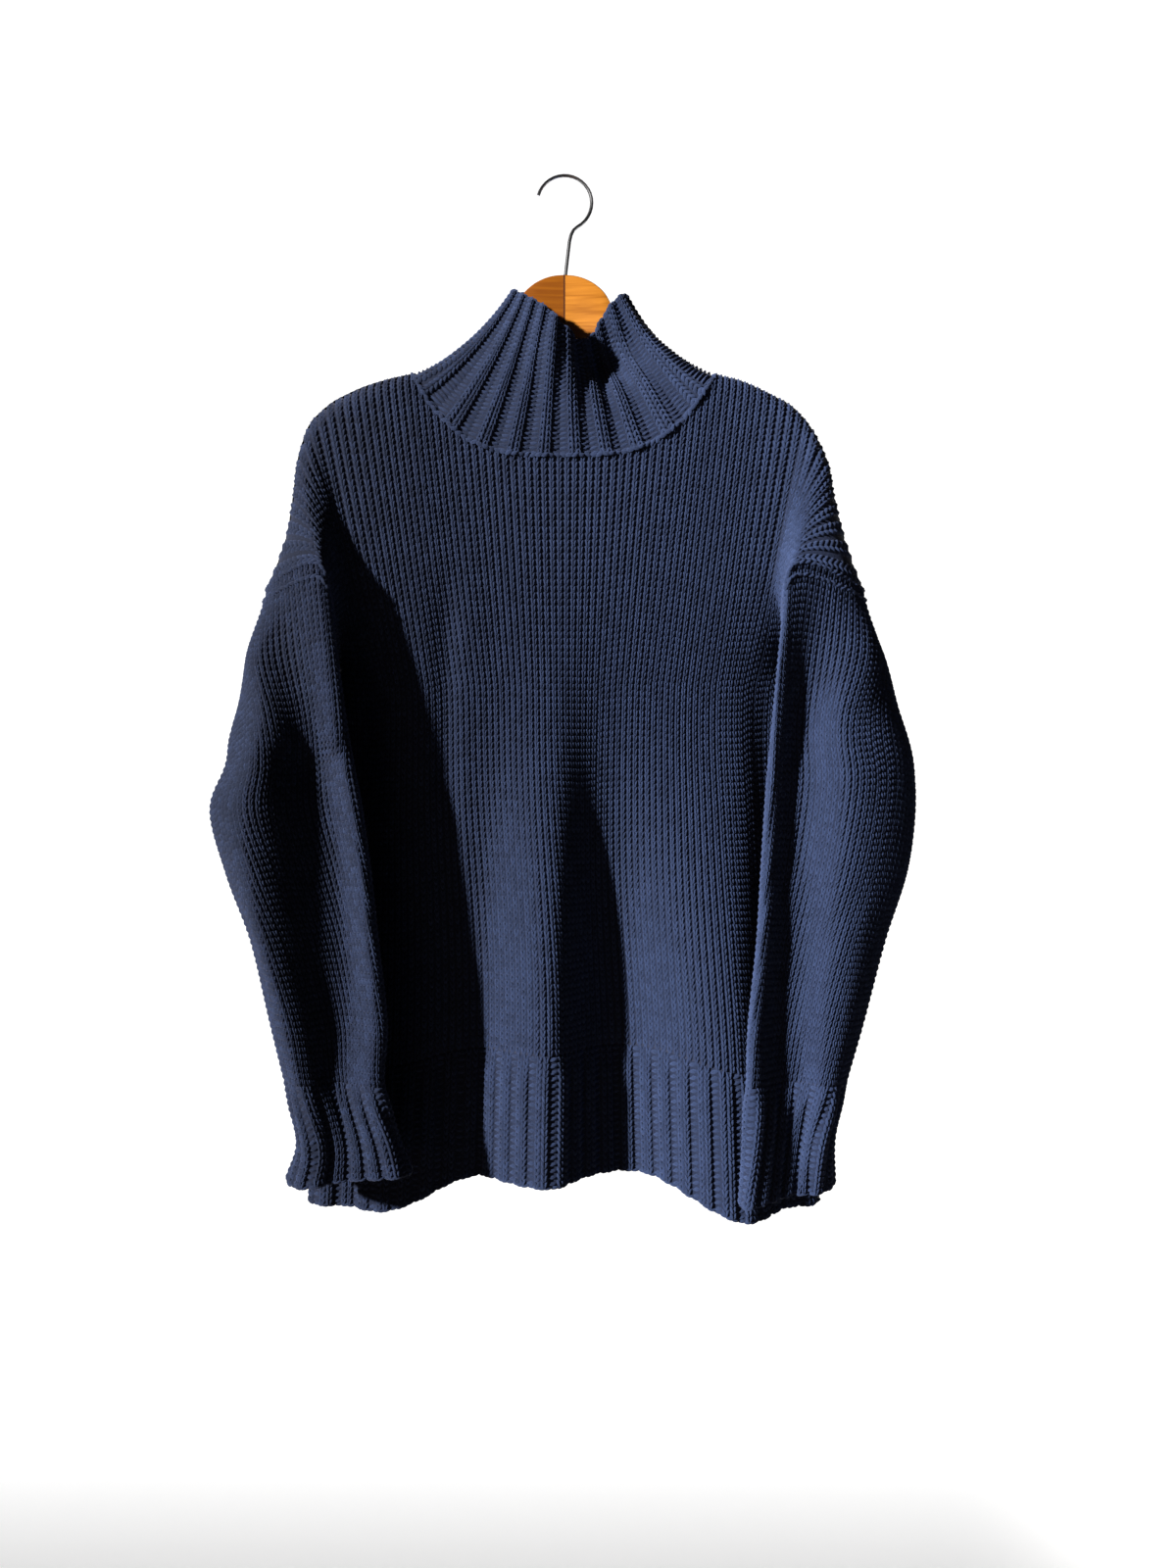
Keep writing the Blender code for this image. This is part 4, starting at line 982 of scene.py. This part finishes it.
def wood_material(name, dark, light, seed):
    """Varnished wood with long grain and a fine dark line where the halves meet."""
    material, tree, shader = principled(name)
    place = add_node(tree, "ShaderNodeTexCoord")
    stretch = add_node(tree, "ShaderNodeMapping", {"Scale": (9, 40, 150), "Location": (seed, 0, 0)})
    grain = add_node(tree, "ShaderNodeTexNoise", {"Scale": 1.6, "Detail": 8, "Distortion": 0.6})
    colours = add_ramp(tree, 0.36, dark, 0.66, light)
    relief = add_node(tree, "ShaderNodeBump", {"Strength": 0.15, "Distance": 0.0003})
    split = add_node(tree, "ShaderNodeSeparateXYZ")
    away = add_node(tree, "ShaderNodeMath", operation="ABSOLUTE")
    joint = add_node(tree, "ShaderNodeMapRange", {"From Min": 0.0005, "From Max": 0.0011})
    joined = add_node(tree, "ShaderNodeMix", data_type="RGBA")
    joined.inputs[6].default_value = (0.05, 0.015, 0.006, 1)
    link_all(
        tree,
        (place, "Object", stretch, "Vector"),
        (place, "Object", split, "Vector"),
        (split, "X", away, 0),
        (away, 0, joint, "Value"),
        (joint, "Result", joined, 0),
        (stretch, "Vector", grain, "Vector"),
        (grain, "Fac", colours, "Fac"),
        (colours, "Color", joined, 7),
        (joined, 2, shader, "Base Color"),
        (grain, "Fac", relief, "Height"),
        (relief, "Normal", shader, "Normal"),
    )
    set_inputs(shader, {"Roughness": 0.33, "Coat Weight": 0.15, "Coat Roughness": 0.2})
    return material


# Lit and shaded copies of one wood: the left half is painted darker as painted shade, the right half is the
# lit copy.
lit_and_shaded_woods = {
    "left": wood_material("beech_left_shaded", (0.13, 0.033, 0.001), (0.19, 0.056, 0.002), 3.0),
    "right": wood_material("beech_right_lit", (0.25, 0.082, 0.006), (0.40, 0.150, 0.016), 8.0),
}
for side, word in ((-1, "left"), (1, "right")):
    reach = np.concatenate([np.linspace(0.00003, 0.056, 60), np.linspace(0.058, HANGER["across"][-1], 60)])
    under_cloth = np.minimum(HANGER["top"], shoulder_line(side * HANGER["across"]) - CLOTH_REST)
    row_tops = np.where(HANGER["across"] > NECK_REACH, under_cloth, HANGER["top"])
    tops = np.where(
        reach < NECK_REACH,
        smooth(reach, HANGER["across"], row_tops),
        np.interp(reach, HANGER["across"], row_tops),
    )
    bottoms = smooth(reach, HANGER["across"], HANGER["bottom"])
    halves = smooth(reach, HANGER["across"], HANGER["half"])
    turn = np.arange(28) / 28 * 2 * math.pi
    rings = []
    for across, top, bottom, half in zip(reach, tops, bottoms, halves):
        middle, tall = (top + bottom) / 2, (top - bottom) / 2
        cut = CORNER_ROUNDING * half
        y = np.sign(np.cos(turn)) * np.abs(np.cos(turn)) ** CORNER_ROUNDING * half
        z = np.sin(turn)
        z = np.sign(z) * (tall - cut + cut * np.abs(z)) * np.clip(np.abs(z) * 6, 0, 1)
        rings.append(np.column_stack([
            np.full(len(turn), side * across), arm_forward(across) + y, middle + z,
        ]))
    grid = np.stack(rings)
    count = len(turn)
    faces = []
    for a in range(0, (len(rings) - 1) * count, count):
        for j in range(count):
            k = (j + 1) % count
            faces.append((a + j, a + k, a + count + k, a + count + j))
    faces += [tuple(range(count)), tuple(range((len(rings) - 1) * count, len(rings) * count))]
    mesh = closed_mesh(f"hanger_{word}", grid.reshape(-1, 3), faces)
    mesh.set_sharp_from_angle(angle=math.radians(40))
    mesh.materials.append(lit_and_shaded_woods[word])
    piece = as_piece(f"hanger_{word}", mesh)
    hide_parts(f"hanger_{word}")


# Hook
# One bent steel wire, polished, fixed in the top of the hanger where the halves meet.
# Its shape is the solid's own, so only the metal is given here.
wire, tree, shader = principled("wire")
set_inputs(shader, {"Base Color": (0.66, 0.66, 0.68, 1), "Metallic": 1, "Roughness": 0.16})
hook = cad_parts["hook"]
hook.data.materials.clear()
hook.data.materials.append(wire)
for face in hook.data.polygons:
    face.use_smooth = True


# Floor, light and camera
# A seamless pale sweep that glows at the back, a narrow key light from the upper
# left at the photograph's angle, and a very weak warm fill.
profile = [(-2.5, -2.2), (2.0, -2.2)]
profile += [(2.0 + 1.5 * math.sin(t), -0.7 - 1.5 * math.cos(t)) for t in np.linspace(0.1, math.pi / 2, 16)]
profile += [(3.5, 5.0)]
sweep = bpy.data.meshes.new("sweep")
sweep.from_pydata(
    [(x, y, z) for y, z in profile for x in (-6.0, 6.0)], [],
    [(2 * k, 2 * k + 1, 2 * k + 3, 2 * k + 2) for k in range(len(profile) - 1)],
)
for face in sweep.polygons:
    face.use_smooth = True
pale, tree, shader = principled("pale")
set_inputs(shader, {
    "Base Color": (0.86, 0.86, 0.86, 1), "Roughness": 1, "Emission Color": (1, 1, 1, 1),
})
place = add_node(tree, "ShaderNodeTexCoord")
split = add_node(tree, "ShaderNodeSeparateXYZ")
glow = add_node(tree, "ShaderNodeMapRange", {
    "From Min": 0.6, "From Max": 2.6, "To Min": 0.10, "To Max": 1.0,
}, interpolation_type="SMOOTHSTEP")
link_all(
    tree,
    (place, "Object", split, "Vector"),
    (split, "Y", glow, "Value"),
    (glow, "Result", shader, "Emission Strength"),
)
sweep.materials.append(pale)
sweep_item = bpy.data.objects.new("sweep", sweep)
bpy.context.scene.collection.objects.link(sweep_item)


def add_light(name, kind, place, at, power, colour, size):
    lamp = bpy.data.lights.new(name, kind)
    if kind == "SPOT":
        lamp.shadow_soft_size = size
        lamp.spot_size = math.radians(16)
        lamp.spot_blend = 0.3
    else:
        lamp.shape = "DISK"
        lamp.size = size
    lamp.energy = power
    lamp.color = colour
    item = bpy.data.objects.new(name, lamp)
    item.location = place
    way = np.array(at) - np.array(place)
    item.rotation_euler = (
        math.atan2(math.hypot(way[0], way[1]), -way[2]), 0, math.atan2(way[1], way[0]) - math.pi / 2,
    )
    bpy.context.scene.collection.objects.link(item)


middle = (0.0, 0.0, -0.5)
add_light("key", "SPOT", (-5.0, -4.0, 1.5), middle, 6700, (1.0, 0.98, 0.95), 0.16)
add_light("fill", "AREA", (-1.2, -3.0, -1.4), middle, 6, (1.0, 0.58, 0.36), 2.0)
# The surroundings give hardly any light, but look pale
world = bpy.data.worlds.new("world")
world.use_nodes = True
tree = world.node_tree
backdrop = tree.nodes["Background"]
set_inputs(backdrop, {"Color": (1, 1, 1, 1), "Strength": 0.02})
ray = add_node(tree, "ShaderNodeLightPath")
seen = add_node(tree, "ShaderNodeMapRange", {"To Min": 0.02, "To Max": 0.9})
link_all(
    tree,
    (ray, "Is Camera Ray", seen, "Value"),
    (seen, "Result", backdrop, "Strength"),
)
bpy.context.scene.world = world
bpy.context.scene.view_settings.view_transform = "Standard"

camera = bpy.data.cameras.new("camera")
camera.sensor_fit = "VERTICAL"
camera.sensor_height = 36
camera.lens = 27.5
camera.clip_start = 0.01
camera_item = bpy.data.objects.new("camera", camera)
camera_item.location = (0.0216, -1.1, -0.557)
camera_item.rotation_euler = (math.pi / 2, 0, 0)
bpy.context.scene.collection.objects.link(camera_item)
bpy.context.scene.camera = camera_item

for node in ("knit_stitch", "purl_stitch"):
    bpy.data.objects.remove(bpy.data.objects[node])
